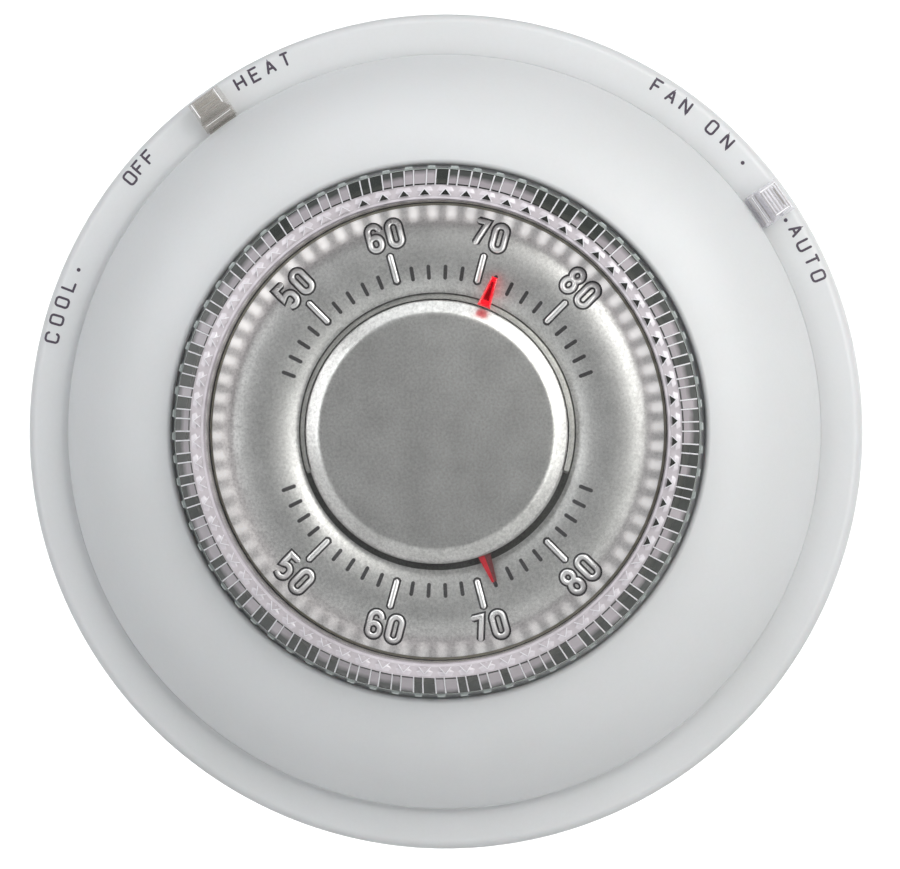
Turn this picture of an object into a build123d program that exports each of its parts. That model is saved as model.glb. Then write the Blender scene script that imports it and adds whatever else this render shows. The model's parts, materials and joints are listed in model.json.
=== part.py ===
from build123d import *
import math
import os

# A round heat and cool thermostat for a wall.
#
# The wall is the plane y = 0 and the face looks along -Y, with +Z up. The origin is on the dial's
# axis, in the middle of the back face. A depth is a distance out from the wall, along -Y. An angle
# is seen from the front, counter-clockwise from +X.

os.makedirs("parts", exist_ok=True)

# A profile plane: its first coordinate is a radius and its second is a depth.
SECTION = Plane(origin=(0, 0, 0), x_dir=(1, 0, 0), z_dir=(0, 0, -1))

# --- Driving dimensions, in mm and degrees ---

bezel_radius = 57.0
face_depth = 17.0
running_gap = 0.05
side_gap = 0.3
press_gap = 0.02
screw_slot_width = 0.7

# Scales: both run from the lowest to the highest temperature, three degrees of arc to one of heat.
arc_per_degree = 3.0
lowest, highest, shown = 42, 88, 72
middle_of_scale = (lowest + highest) / 2
set_pointer_angle = 90 - (shown - middle_of_scale) * arc_per_degree
room_needle_angle = 270 + (shown - middle_of_scale) * arc_per_degree
half_scale = (highest - lowest) / 2 * arc_per_degree

# Wallplate and what it is fastened by.
plate_radius = 54.9
plate_thickness = 2.4
wall_screw_radius, wall_screw_head_radius = 2.2, 4.6
wall_screw_spacing = 83.3
wall_slot_spacing = 70.0
wall_slot_length = 9.0
wire_opening_width, wire_opening_height, wire_opening_rise = 30.0, 18.0, 3.0
wire_opening_corner = 4.0
arrow_side, arrow_inset, arrow_cut = 4.0, 3.5, 0.6

# Bezel ring: its draft, rounded edge, crown and inner lip.
bezel_wall_gap, bezel_draft, bezel_fit = 0.6, 0.3, 0.2
edge_width, edge_height, crown_rise = 1.5, 2.0, 0.3
lip_outer, lip_inner, lip_thickness = 50.8, 49.8, 1.6
under_radius, under_drop, corner_drop = 53.2, 1.8, 4.0
latch_count, latch_arc, latch_inner, latch_height, latch_root = 6, 8.0, 53.4, 1.6, 0.4

# Terminals, on an arc below the wire opening.
terminal_count = 8
terminal_start, terminal_range = 200.0, 140.0
terminal_screw_circle = 23.5
terminal_pad_height = 0.8
terminal_plate_thickness = 0.8
terminal_inner, terminal_outer, terminal_width = 20.0, 31.6, 6.0
terminal_middle = (terminal_inner + terminal_outer) / 2
terminal_hole_radius, terminal_hole_depth = 1.25, 2.4
terminal_head_radius, terminal_head_height = 2.5, 1.6
terminal_thread_radius, terminal_thread_length = 1.2, 3.0
blade_circle, blade_foot = 29.5, 3.0
blade_width, blade_thickness = 2.6, 0.4

# Switch tracks, sliders and levers.
system_lever_angle, system_travel = 125.6, 27.0
fan_lever_angle, fan_travel = 34.8, 6.0
track_inner, track_outer, track_wall = 41.3, 48.9, 1.0
track_height, track_margin = 6.4, 3.0
board_margin = 2.5
switch_board_thickness = 1.6
pad_thickness = 0.1
slider_half_angle = 4.5
slider_back, slider_front = 5.0, 8.6
common_pad_inner, common_pad_outer = 42.6, 44.2
position_pad_inner, position_pad_outer = 45.6, 47.4
wiper_bridge, wiper_foot, wiper_width, wiper_thickness = 5.0, 0.7, 2.4, 0.3
stem_inner, stem_outer, stem_width = 46.7, 48.2, 3.2
stem_circle = (stem_inner + stem_outer) / 2
peg_radius, peg_length = 0.6, 2.0
arm_back, arm_front = 17.25, 17.85
tab_inner, tab_outer, tab_width, tab_height = 51.35, 56.0, 4.9, 3.4
tab_draft = 8.0

# Cover: a dome between its outer edge and the hole that the dial stands in.
cover_radius, cover_edge_depth = 50.9, 18.2
cover_hole_radius, cover_hole_depth = 35.0, 30.5
cover_turn = 50.0
cover_wall, cover_lip_fillet = 1.6, 0.6
cover_leg_inner, cover_leg_outer, cover_leg_half_angle = 45.0, 46.2, 4.0
cover_leg_back, cover_leg_front = 12.0, 23.4
cover_leg_angles = [90, 210, 330]
skirt_inner, skirt_outer, skirt_back, skirt_front = 48.7, 49.5, 14.5, 19.2
lever_gap_half_angle = 4.0

# Control module: chassis, circuit board and what stands on it.
chassis_radius, chassis_back, chassis_thickness = 43.5, 9.0, 2.0
module_screw_circle, module_screw_start = 36.0, 15.0
module_post_radius, module_boss_radius, module_hole_radius = 3.4, 3.2, 1.7
module_head_radius, module_head_height, module_thread_radius = 2.8, 1.8, 1.25
insert_radius, insert_length = 2.0, 5.0
board_radius, board_back, board_thickness = 42.0, 12.5, 1.6
board_screw_circle, board_screw_start = 38.5, module_screw_start + 40
board_head_radius, board_head_height = 1.6, 1.1
board_thread_radius, board_thread_length = 0.7, 4.0
board_post_radius, board_hole_radius, board_hole_depth = 2.4, 0.75, 3.0
blade_window_inner, blade_window_outer, blade_window_start, blade_window_arc = 27.5, 32.4, 194, 152
relay_circle, relay_depth, relay_length, relay_height = 38.2, 7.2, 15.0, 8.0
capacitor_circle, capacitor_radius, capacitor_height = 38.0, 3.5, 8.0
chip_circle, chip_side, chip_height = 19.5, 9.0, 1.5
resistor_circle, resistor_count, resistor_length, resistor_width, resistor_height = 30.0, 8, 3.2, 1.6, 0.7
bead_circle, bead_radius, bead_lead_spacing, bead_height = 39.5, 1.4, 1.4, 5.2
bead_lead_radius, bead_lead_drop = 0.25, 0.8
heat_relay_angle, cool_relay_angle, fan_relay_angle = 80.0, 108.0, 345.0
capacitor_start, capacitor_range = 190.0, 15.0
resistor_start, resistor_range = 300.0, 70.0
chip_angle, bead_angle = 180.0, 270.0
relay_corner, capacitor_corner, chip_corner = 0.6, 0.5, 0.2
spring_foot, spring_reach, spring_tip = 1.8, 1.4, 0.2
spring_bow, spring_front, spring_half_width, spring_thickness = 14.6, 18.0, 2.0, 0.3
chassis_front = chassis_back + chassis_thickness
board_front = board_back + board_thickness
module_head_depth = board_front + 0.4
leg_inner, leg_outer, leg_half_angle = 21.0, 26.0, 14.0
leg_clearance, leg_angle_clearance = 0.4, 1.0
leg_screw_spacing = leg_inner + leg_outer
leg_head_radius, leg_head_height, leg_thread_radius, leg_thread_length = 2.0, 1.2, 0.95, 9.0

# Setting dial: clear ring and window, and the collar and bar that turn the position sensor.
dial_radius, dial_front_depth = 34.7, 36.5
dial_back_depth = 31.6
window_radius, window_back, window_thickness = 30.4, 34.9, 1.2
knurl_count, knurl_radius, knurl_offset = 72, 0.6, 0.25
slope_outer, slope_foot, slope_inner = 34.15, 33.0, 31.9
collar_bore, collar_radius, collar_back = 30.0, 33.4, 22.2
bar_width, bar_thickness = 5.0, 1.2
bar_back = collar_back - bar_thickness
bar_screw_circle, bar_hub_radius = 31.7, 6.0
bar_head_radius, bar_head_height = 1.3, 0.8
bar_thread_radius, bar_thread_length, bar_hole_radius = 0.7, 5.0, 0.72
sensor_radius, sensor_height = 8.5, 4.5
sensor_tail_width, sensor_tail_height = 9.0, 6.0
rotor_radius, rotor_front, rotor_shoulder, rotor_lift = 3.0, 20.9, 1.4, 0.2
spigot_side, spigot_length, spigot_hole_depth = 3.0, 3.2, 3.4
washer_radius, washer_bore = 5.6, 2.4

# Dial support, dial plate, cap and room needle.
support_back, support_floor, support_wall = 23.0, 1.6, 2.0
support_radius = collar_bore - running_gap
scale_depth = 30.8
crest_radius, crest_rise, crest_half_width = 23.3, 0.9, 5.1
dial_plate_thickness = 0.6
dial_plate_bore, dial_plate_radius = 14.5, 29.6
boss_radius, boss_height = 3.4, 1.2
cap_front, cap_bevel = 33.8, 0.9
cap_face_radius, cap_rim_radius, cap_foot_radius = 15.4, 17.2, 18.0
cap_wall = 0.6
slot_height, slot_inner, slot_margin = 1.9, 13.0, 4.0
post_radius, post_front = 1.5, 33.0
post_fit, post_seat = 0.01, 0.4
retainer_radius, retainer_back = 8.0, 32.7
hub_radius, hub_back, hub_front = 3.0, 26.2, 32.0
coil_turns, coil_pitch, coil_thickness, coil_reach = 5, 1.1, 0.35, 3.55
coil_back, coil_width = 26.8, 3.0
needle_thickness, needle_reach, needle_root_width, needle_tip_width = 0.4, 21.0, 1.9, 0.7
pointer_inner, pointer_outer = 17.3, 21.5
pointer_root_width, pointer_tip_width, pointer_height = 1.8, 0.7, 1.2


def sector(inner, outer, start, arc):
    """A flat band between two radii, from one angle through an arc."""
    with BuildSketch() as band:
        with BuildLine():
            near = CenterArc((0, 0), inner, start, arc)
            far = CenterArc((0, 0), outer, start, arc)
            Line(near @ 0, far @ 0)
            Line(near @ 1, far @ 1)
        make_face()
    return band.sketch


def taper(inner, outer, inner_width, outer_width, angle):
    """A flat pointed bar along a radius, wider at its inner end."""
    with BuildSketch() as bar:
        with BuildLine():
            Polyline(
                (inner, -inner_width / 2),
                (outer, -outer_width / 2),
                (outer, outer_width / 2),
                (inner, inner_width / 2),
                close=True,
            )
        make_face()
    return bar.sketch.rotate(Axis.Z, angle)


def at_terminals(circle):
    """The places of the wire terminals on a circle."""
    return PolarLocations(circle, terminal_count, terminal_start, terminal_range, endpoint=True)


def at_module_screws():
    """The places of the three screws that hold the control module."""
    return PolarLocations(module_screw_circle, 3, module_screw_start)


def at_board_screws():
    """The places of the three screws that hold the circuit board."""
    return PolarLocations(board_screw_circle, 3, board_screw_start)


def at_leg_screws():
    """The places of the two screws in the dial support's legs."""
    return GridLocations(0, leg_screw_spacing, 1, 2)


def cross_recess(length, width):
    """Two crossed driver slots, added to the open sketch."""
    Rectangle(length, width)
    Rectangle(width, length)


# ---------------------------------------------------------------- wallplate and bezel

with BuildPart() as wallplate:
    with BuildSketch(Plane.XZ):
        Circle(plate_radius)
        with Locations((0, wire_opening_rise)):
            RectangleRounded(
                wire_opening_width, wire_opening_height, wire_opening_corner, mode=Mode.SUBTRACT
            )
        with GridLocations(0, wall_screw_spacing, 1, 2):
            Circle(wall_screw_radius, mode=Mode.SUBTRACT)
        with GridLocations(wall_slot_spacing, 0, 2, 1):
            SlotOverall(wall_slot_length, 2 * wall_screw_radius, mode=Mode.SUBTRACT)
    extrude(amount=plate_thickness)
    # Walls of the two switch tracks, each a little longer than its slider's travel.
    with BuildSketch(Plane.XZ.offset(plate_thickness)):
        for lever_angle, travel in ((system_lever_angle, system_travel), (fan_lever_angle, fan_travel)):
            start = lever_angle - slider_half_angle - track_margin
            arc = travel + 2 * (slider_half_angle + track_margin)
            add(sector(track_inner - track_wall, track_inner, start, arc))
            add(sector(track_outer, track_outer + track_wall, start, arc))
    extrude(amount=track_height)
    # Posts that carry the control module.
    with BuildSketch(Plane.XZ.offset(plate_thickness)):
        with at_module_screws():
            Circle(module_post_radius)
            Circle(insert_radius, mode=Mode.SUBTRACT)
    extrude(amount=chassis_back - plate_thickness)
    # Raised pads under the terminals, with a blind hole for each terminal screw.
    with BuildSketch(Plane.XZ.offset(plate_thickness)):
        with at_terminals(terminal_middle):
            Rectangle(terminal_outer - terminal_inner, terminal_width)
    extrude(amount=terminal_pad_height)
    with BuildSketch(Plane.XZ.offset(plate_thickness + terminal_pad_height)):
        with at_terminals(terminal_screw_circle):
            Circle(terminal_hole_radius)
    extrude(amount=-terminal_hole_depth, mode=Mode.SUBTRACT)
    # Arrow notch at the top edge, which shows the fitter which way up the plate goes.
    with BuildSketch(Plane.XZ.offset(plate_thickness)):
        with Locations((0, plate_radius - arrow_inset)):
            Triangle(a=arrow_side, b=arrow_side, c=arrow_side)
    extrude(amount=-arrow_cut, mode=Mode.SUBTRACT)
wallplate.part.label = "wallplate"
export_step(wallplate.part, "parts/wallplate.step")

with BuildPart() as bezel:
    with BuildSketch(SECTION):
        with BuildLine():
            edge_base = face_depth - crown_rise - edge_height
            side_radius = bezel_radius - bezel_draft
            inside_radius = plate_radius + bezel_fit
            outside = Line((bezel_radius, bezel_wall_gap), (side_radius, edge_base))
            edge = EllipticalCenterArc(
                (side_radius - edge_width, edge_base), edge_width, edge_height, start_angle=0, arc_size=90
            )
            crown = Line(edge @ 1, (lip_outer, face_depth))
            flat = Line(crown @ 1, (lip_inner, face_depth))
            lip = Line(flat @ 1, (lip_inner, face_depth - lip_thickness))
            under = Line(lip @ 1, (under_radius, face_depth - under_drop))
            corner = Line(under @ 1, (inside_radius, face_depth - corner_drop))
            inside = Line(corner @ 1, (inside_radius, bezel_wall_gap))
            Line(inside @ 1, outside @ 0)
        make_face()
    revolve(axis=Axis.Y)
    # Latches that rest on the wallplate's edge.
    with BuildSketch(Plane.XZ.offset(plate_thickness)):
        for latch in range(latch_count):
            latch_start = 360 / latch_count * latch - latch_arc / 2
            add(sector(latch_inner, plate_radius + bezel_fit + latch_root, latch_start, latch_arc))
    extrude(amount=latch_height)
bezel.part.label = "bezel"
export_step(bezel.part, "parts/bezel.step")

# ---------------------------------------------------------------- terminals on the wallplate

terminal_back = plate_thickness + terminal_pad_height

with BuildPart() as terminal_plates:
    with BuildSketch(Plane.XZ.offset(terminal_back)):
        with at_terminals(terminal_middle):
            Rectangle(terminal_outer - terminal_inner, terminal_width - 2 * side_gap)
        with at_terminals(terminal_screw_circle):
            Circle(terminal_hole_radius + running_gap, mode=Mode.SUBTRACT)
    extrude(amount=terminal_plate_thickness)
terminal_plates.part.label = "terminal_plates"
export_step(terminal_plates.part, "parts/terminal_plates.step")

terminal_face = terminal_back + terminal_plate_thickness

with BuildPart() as terminal_screws:
    with BuildSketch(Plane.XZ.offset(terminal_face)):
        with at_terminals(terminal_screw_circle):
            Circle(terminal_head_radius)
    extrude(amount=terminal_head_height)
    with BuildSketch(Plane.XZ.offset(terminal_face)):
        with at_terminals(terminal_screw_circle):
            Circle(terminal_thread_radius)
    extrude(amount=-terminal_thread_length)
    # Driver slots.
    with BuildSketch(Plane.XZ.offset(terminal_face + terminal_head_height)):
        with at_terminals(terminal_screw_circle):
            Rectangle(2 * terminal_head_radius + 0.2, screw_slot_width)
    extrude(amount=-terminal_head_height / 2, mode=Mode.SUBTRACT)
terminal_screws.part.label = "terminal_screws"
export_step(terminal_screws.part, "parts/terminal_screws.step")

# ---------------------------------------------------------------- switches

pad_face = plate_thickness + switch_board_thickness + pad_thickness


def switch_board(lever_angle, travel):
    """The arc of circuit board that lies in one switch's track."""
    start = lever_angle - slider_half_angle - board_margin
    arc = travel + 2 * (slider_half_angle + board_margin)
    with BuildPart() as board:
        with BuildSketch(Plane.XZ.offset(plate_thickness)):
            add(sector(track_inner + 0.2, track_outer - 0.2, start, arc))
        extrude(amount=switch_board_thickness)
    return board.part


def switch_pads(lever_angle, travel, positions):
    """The contact pads on a switch board: a common strip, and one pad for each position."""
    start = lever_angle - slider_half_angle + 1
    arc = travel + 2 * slider_half_angle - 2
    step = travel / (positions - 1)
    pad_arc = min(step - 0.8, 2 * slider_half_angle)
    with BuildPart() as pads:
        with BuildSketch(Plane.XZ.offset(pad_face - pad_thickness)):
            add(sector(common_pad_inner, common_pad_outer, start, arc))
            for position in range(positions):
                pad_start = lever_angle + step * position - pad_arc / 2
                add(sector(position_pad_inner, position_pad_outer, pad_start, pad_arc))
        extrude(amount=pad_thickness)
    return pads.part


def slider(lever_angle):
    """The block that carries a lever along its track, with a socket for the lever's peg."""
    with BuildPart() as block:
        with BuildSketch(Plane.XZ.offset(slider_back)):
            add(
                sector(
                    track_inner + side_gap,
                    track_outer - side_gap,
                    lever_angle - slider_half_angle,
                    2 * slider_half_angle,
                )
            )
        extrude(amount=slider_front - slider_back)
        with BuildSketch(Plane.XZ.offset(slider_front)):
            with PolarLocations(stem_circle, 1, lever_angle):
                Circle(peg_radius + press_gap)
        extrude(amount=-(peg_length + 0.2), mode=Mode.SUBTRACT)
    return block.part


def wiper(lever_angle):
    """The springy bridge under a slider, which joins the common strip to one pad."""
    common_foot = (common_pad_inner + common_pad_outer) / 2
    position_foot = (position_pad_inner + position_pad_outer) / 2
    bridge_back = slider_back - wiper_thickness
    foot_back = pad_face + running_gap
    with BuildPart() as bridge:
        with BuildSketch(Plane.XZ.offset(bridge_back)):
            with PolarLocations((common_foot + position_foot) / 2, 1, lever_angle):
                Rectangle(wiper_bridge, wiper_width)
        extrude(amount=wiper_thickness)
        with BuildSketch(Plane.XZ.offset(foot_back)):
            for foot in (common_foot, position_foot):
                with PolarLocations(foot, 1, lever_angle):
                    Rectangle(wiper_foot, wiper_width)
        extrude(amount=bridge_back - foot_back)
    return bridge.part


def lever(lever_angle):
    """A clear lever: peg, stem, flat arm under the cover's edge, and the tab outside it."""
    with BuildPart() as handle:
        with BuildSketch(Plane.XZ.offset(slider_front)):
            with PolarLocations(stem_circle, 1, lever_angle):
                Rectangle(stem_outer - stem_inner, stem_width)
        extrude(amount=arm_front - slider_front)
        with BuildSketch(Plane.XZ.offset(slider_front)):
            with PolarLocations(stem_circle, 1, lever_angle):
                Circle(peg_radius)
        extrude(amount=-peg_length)
        with BuildSketch(Plane.XZ.offset(arm_back)):
            with PolarLocations((stem_inner + tab_outer) / 2, 1, lever_angle):
                Rectangle(tab_outer - stem_inner - 0.5, tab_width - 2 * side_gap)
        extrude(amount=arm_front - arm_back)
        with BuildSketch(Plane.XZ.offset(arm_back)):
            with PolarLocations((tab_inner + tab_outer) / 2, 1, lever_angle):
                Rectangle(tab_outer - tab_inner, tab_width)
        extrude(amount=tab_height, taper=tab_draft)
    return handle.part


system_board = switch_board(system_lever_angle, system_travel)
system_board.label = "system_switch_board"
export_step(system_board, "parts/system_switch_board.step")

fan_board = switch_board(fan_lever_angle, fan_travel)
fan_board.label = "fan_switch_board"
export_step(fan_board, "parts/fan_switch_board.step")

system_pads = switch_pads(system_lever_angle, system_travel, 3)
system_pads.label = "system_contact_pads"
export_step(system_pads, "parts/system_contact_pads.step")

fan_pads = switch_pads(fan_lever_angle, fan_travel, 2)
fan_pads.label = "fan_contact_pads"
export_step(fan_pads, "parts/fan_contact_pads.step")

system_slider = slider(system_lever_angle)
system_slider.label = "system_slider"
export_step(system_slider, "parts/system_slider.step")

fan_slider = slider(fan_lever_angle)
fan_slider.label = "fan_slider"
export_step(fan_slider, "parts/fan_slider.step")

system_wiper = wiper(system_lever_angle)
system_wiper.label = "system_wiper"
export_step(system_wiper, "parts/system_wiper.step")

fan_wiper = wiper(fan_lever_angle)
fan_wiper.label = "fan_wiper"
export_step(fan_wiper, "parts/fan_wiper.step")

system_lever = lever(system_lever_angle)
system_lever.label = "system_lever"
export_step(system_lever, "parts/system_lever.step")

fan_lever = lever(fan_lever_angle)
fan_lever.label = "fan_lever"
export_step(fan_lever, "parts/fan_lever.step")

# ---------------------------------------------------------------- control module

with BuildPart() as chassis:
    with BuildSketch(Plane.XZ.offset(chassis_back)):
        Circle(chassis_radius)
        with at_module_screws():
            Circle(module_hole_radius, mode=Mode.SUBTRACT)
        # Window that the contact blades pass through.
        blade_window = sector(blade_window_inner, blade_window_outer, blade_window_start, blade_window_arc)
        add(blade_window, mode=Mode.SUBTRACT)
        # Clearance for the heads of the vertical pair of wall screws.
        with GridLocations(0, wall_screw_spacing, 1, 2):
            Circle(wall_screw_head_radius, mode=Mode.SUBTRACT)
        with at_leg_screws():
            Circle(leg_thread_radius + 0.35, mode=Mode.SUBTRACT)
    extrude(amount=chassis_thickness)
    # Bosses round the module screws, through the circuit board.
    with BuildSketch(Plane.XZ.offset(chassis_front)):
        with at_module_screws():
            Circle(module_boss_radius)
            Circle(module_hole_radius, mode=Mode.SUBTRACT)
    extrude(amount=module_head_depth - chassis_front)
    # Posts under the circuit board.
    with BuildSketch(Plane.XZ.offset(chassis_front)):
        with at_board_screws():
            Circle(board_post_radius)
            Circle(board_hole_radius, mode=Mode.SUBTRACT)
    extrude(amount=board_back - chassis_front)
    with BuildSketch(Plane.XZ.offset(board_back)):
        with at_board_screws():
            Circle(board_hole_radius)
    extrude(amount=-board_hole_depth, mode=Mode.SUBTRACT)
chassis.part.label = "chassis"
export_step(chassis.part, "parts/chassis.step")

with BuildPart() as threaded_inserts:
    with BuildSketch(Plane.XZ.offset(chassis_back - insert_length)):
        with at_module_screws():
            Circle(insert_radius - press_gap)
            Circle(module_thread_radius + press_gap, mode=Mode.SUBTRACT)
    extrude(amount=insert_length - 0.1)
threaded_inserts.part.label = "threaded_inserts"
export_step(threaded_inserts.part, "parts/threaded_inserts.step")

with BuildPart() as module_screws:
    with BuildSketch(Plane.XZ.offset(module_head_depth)):
        with at_module_screws():
            Circle(module_head_radius)
    extrude(amount=module_head_height)
    with BuildSketch(Plane.XZ.offset(module_head_depth)):
        with at_module_screws():
            Circle(module_thread_radius)
    extrude(amount=-(module_head_depth - chassis_back + insert_length - 0.4))
    with BuildSketch(Plane.XZ.offset(module_head_depth + module_head_height)):
        with at_module_screws():
            cross_recess(module_head_radius + 0.4, screw_slot_width)
    extrude(amount=-1.0, mode=Mode.SUBTRACT)
module_screws.part.label = "module_screws"
export_step(module_screws.part, "parts/module_screws.step")

with BuildPart() as circuit_board:
    with BuildSketch(Plane.XZ.offset(board_back)):
        Circle(board_radius)
        with at_module_screws():
            Circle(module_boss_radius + 0.2, mode=Mode.SUBTRACT)
        with at_board_screws():
            Circle(board_thread_radius + side_gap, mode=Mode.SUBTRACT)
        # Openings for the dial support's legs.
        for leg_angle in (90, 270):
            opening_half_angle = leg_half_angle + leg_angle_clearance
            leg_opening = sector(
                leg_inner - leg_clearance,
                leg_outer + leg_clearance,
                leg_angle - opening_half_angle,
                2 * opening_half_angle,
            )
            add(leg_opening, mode=Mode.SUBTRACT)
    extrude(amount=board_thickness)
circuit_board.part.label = "circuit_board"
export_step(circuit_board.part, "parts/circuit_board.step")

with BuildPart() as board_screws:
    with BuildSketch(Plane.XZ.offset(board_front)):
        with at_board_screws():
            Circle(board_head_radius)
    extrude(amount=board_head_height)
    with BuildSketch(Plane.XZ.offset(board_front)):
        with at_board_screws():
            Circle(board_thread_radius)
    extrude(amount=-board_thread_length)
    with BuildSketch(Plane.XZ.offset(board_front + board_head_height)):
        with at_board_screws():
            cross_recess(board_head_radius + 0.3, 0.4)
    extrude(amount=-0.6, mode=Mode.SUBTRACT)
board_screws.part.label = "board_screws"
export_step(board_screws.part, "parts/board_screws.step")

with BuildPart() as contact_blades:
    with BuildSketch(Plane.XZ.offset(terminal_face)):
        with at_terminals(blade_circle):
            Rectangle(blade_foot, blade_width)
    extrude(amount=blade_thickness)
    with BuildSketch(Plane.XZ.offset(terminal_face)):
        with at_terminals(blade_circle + (blade_foot - blade_thickness) / 2):
            Rectangle(blade_thickness, blade_width)
    extrude(amount=board_back - terminal_face)
contact_blades.part.label = "contact_blades"
export_step(contact_blades.part, "parts/contact_blades.step")


def relay(angle):
    """A small sealed relay that stands on the circuit board."""
    with BuildPart() as can:
        with BuildSketch(Plane.XZ.offset(board_front)):
            with PolarLocations(relay_circle, 1, angle):
                Rectangle(relay_depth, relay_length)
        extrude(amount=relay_height)
        fillet(can.edges().filter_by(Axis.Y), relay_corner)
    return can.part


heat_relay = relay(heat_relay_angle)
heat_relay.label = "heating_relay"
export_step(heat_relay, "parts/heating_relay.step")

cool_relay = relay(cool_relay_angle)
cool_relay.label = "cooling_relay"
export_step(cool_relay, "parts/cooling_relay.step")

fan_relay_can = relay(fan_relay_angle)
fan_relay_can.label = "fan_relay"
export_step(fan_relay_can, "parts/fan_relay.step")

with BuildPart() as capacitors:
    with BuildSketch(Plane.XZ.offset(board_front)):
        with PolarLocations(capacitor_circle, 2, capacitor_start, capacitor_range, endpoint=True):
            Circle(capacitor_radius)
    extrude(amount=capacitor_height)
    fillet(capacitors.faces().sort_by(Axis.Y)[:2].edges(), capacitor_corner)
capacitors.part.label = "capacitors"
export_step(capacitors.part, "parts/capacitors.step")

with BuildPart() as controller_chip:
    with BuildSketch(Plane.XZ.offset(board_front)):
        with PolarLocations(chip_circle, 1, chip_angle):
            Rectangle(chip_side, chip_side)
    extrude(amount=chip_height)
    chamfer(controller_chip.faces().sort_by(Axis.Y)[0].edges(), chip_corner)
controller_chip.part.label = "controller_chip"
export_step(controller_chip.part, "parts/controller_chip.step")

with BuildPart() as resistors:
    with BuildSketch(Plane.XZ.offset(board_front)):
        with PolarLocations(
            resistor_circle, resistor_count, resistor_start, resistor_range, endpoint=True
        ):
            Rectangle(resistor_length, resistor_width)
    extrude(amount=resistor_height)
resistors.part.label = "resistors"
export_step(resistors.part, "parts/resistors.step")

with BuildPart() as room_sensor:
    with BuildSketch(Plane.XZ.offset(board_front)):
        with PolarLocations(bead_circle, 1, bead_angle):
            with GridLocations(0, bead_lead_spacing, 1, 2):
                Circle(bead_lead_radius)
    extrude(amount=bead_height - bead_lead_drop)
    with Locations(Plane.XZ.offset(board_front + bead_height)):
        with PolarLocations(bead_circle, 1, bead_angle):
            Sphere(bead_radius)
room_sensor.part.label = "room_sensor"
export_step(room_sensor.part, "parts/room_sensor.step")


def cover_spring(angle):
    """A bowed steel strip on the chassis edge that grips one leg of the cover."""
    with BuildPart() as strip:
        with BuildSketch(SECTION):
            with BuildLine():
                outer_radius = chassis_radius + spring_thickness
                crest = chassis_radius + spring_reach
                tip_radius = chassis_radius + spring_tip
                foot = Line((outer_radius, chassis_front - spring_foot), (outer_radius, chassis_front))
                bow = ThreePointArc(foot @ 1, (crest, spring_bow), (tip_radius, spring_front))
                tip = Line(bow @ 1, (tip_radius - spring_thickness, spring_front))
                inner = ThreePointArc(
                    tip @ 1, (crest - spring_thickness, spring_bow), (chassis_radius, chassis_front)
                )
                back = Line(inner @ 1, (chassis_radius, chassis_front - spring_foot))
                Line(back @ 1, foot @ 0)
            make_face()
        extrude(amount=spring_half_width, both=True)
    return strip.part.rotate(Axis.Y, -angle)


# ---------------------------------------------------------------- setting position sensor

with BuildPart() as sensor_body:
    with BuildSketch(Plane.XZ.offset(board_front)):
        Circle(sensor_radius)
        with Locations((0, -sensor_radius)):
            Rectangle(sensor_tail_width, sensor_tail_height)
        Circle(rotor_radius + running_gap, mode=Mode.SUBTRACT)
    extrude(amount=sensor_height)
sensor_body.part.label = "position_sensor"
export_step(sensor_body.part, "parts/position_sensor.step")

with BuildPart() as sensor_rotor:
    rotor_back = board_front + rotor_lift
    with BuildSketch(Plane.XZ.offset(rotor_back)):
        Circle(rotor_radius)
    extrude(amount=rotor_front - rotor_back)
    with BuildSketch(Plane.XZ.offset(rotor_back + sensor_height)):
        Circle(rotor_radius + rotor_shoulder)
    extrude(amount=rotor_front - rotor_back - sensor_height)
    with BuildSketch(Plane.XZ.offset(rotor_front)):
        Rectangle(spigot_side + 2 * press_gap, spigot_side + 2 * press_gap)
    extrude(amount=-spigot_hole_depth, mode=Mode.SUBTRACT)
sensor_rotor.part.label = "sensor_rotor"
export_step(sensor_rotor.part, "parts/sensor_rotor.step")

# The bar lies a quarter turn from the set pointer, so that its sweep misses the support's legs.
bar_angle = set_pointer_angle - 90

with BuildPart() as drive_bar:
    with BuildSketch(Plane.XZ.offset(bar_back)):
        Circle(bar_hub_radius)
        Rectangle(2 * (collar_radius - 0.2), bar_width, rotation=bar_angle)
        with PolarLocations(bar_screw_circle, 2, bar_angle):
            Circle(bar_hole_radius, mode=Mode.SUBTRACT)
    extrude(amount=bar_thickness)
    with BuildSketch(Plane.XZ.offset(bar_back)):
        Rectangle(spigot_side, spigot_side)
    extrude(amount=-spigot_length)
drive_bar.part.label = "drive_bar"
export_step(drive_bar.part, "parts/drive_bar.step")

with BuildPart() as bar_screws:
    with BuildSketch(Plane.XZ.offset(bar_back)):
        with PolarLocations(bar_screw_circle, 2, bar_angle):
            Circle(bar_head_radius)
    extrude(amount=-bar_head_height)
    with BuildSketch(Plane.XZ.offset(bar_back)):
        with PolarLocations(bar_screw_circle, 2, bar_angle):
            Circle(bar_thread_radius)
    extrude(amount=bar_thread_length)
bar_screws.part.label = "bar_screws"
export_step(bar_screws.part, "parts/bar_screws.step")

with BuildPart() as tension_washer:
    with BuildSketch(Plane.XZ.offset(collar_back)):
        Circle(washer_radius)
        Circle(washer_bore, mode=Mode.SUBTRACT)
    extrude(amount=support_back - collar_back - running_gap)
tension_washer.part.label = "tension_washer"
export_step(tension_washer.part, "parts/tension_washer.step")

# ---------------------------------------------------------------- dial support, plate and cap

wall_front = scale_depth - dial_plate_thickness

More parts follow.
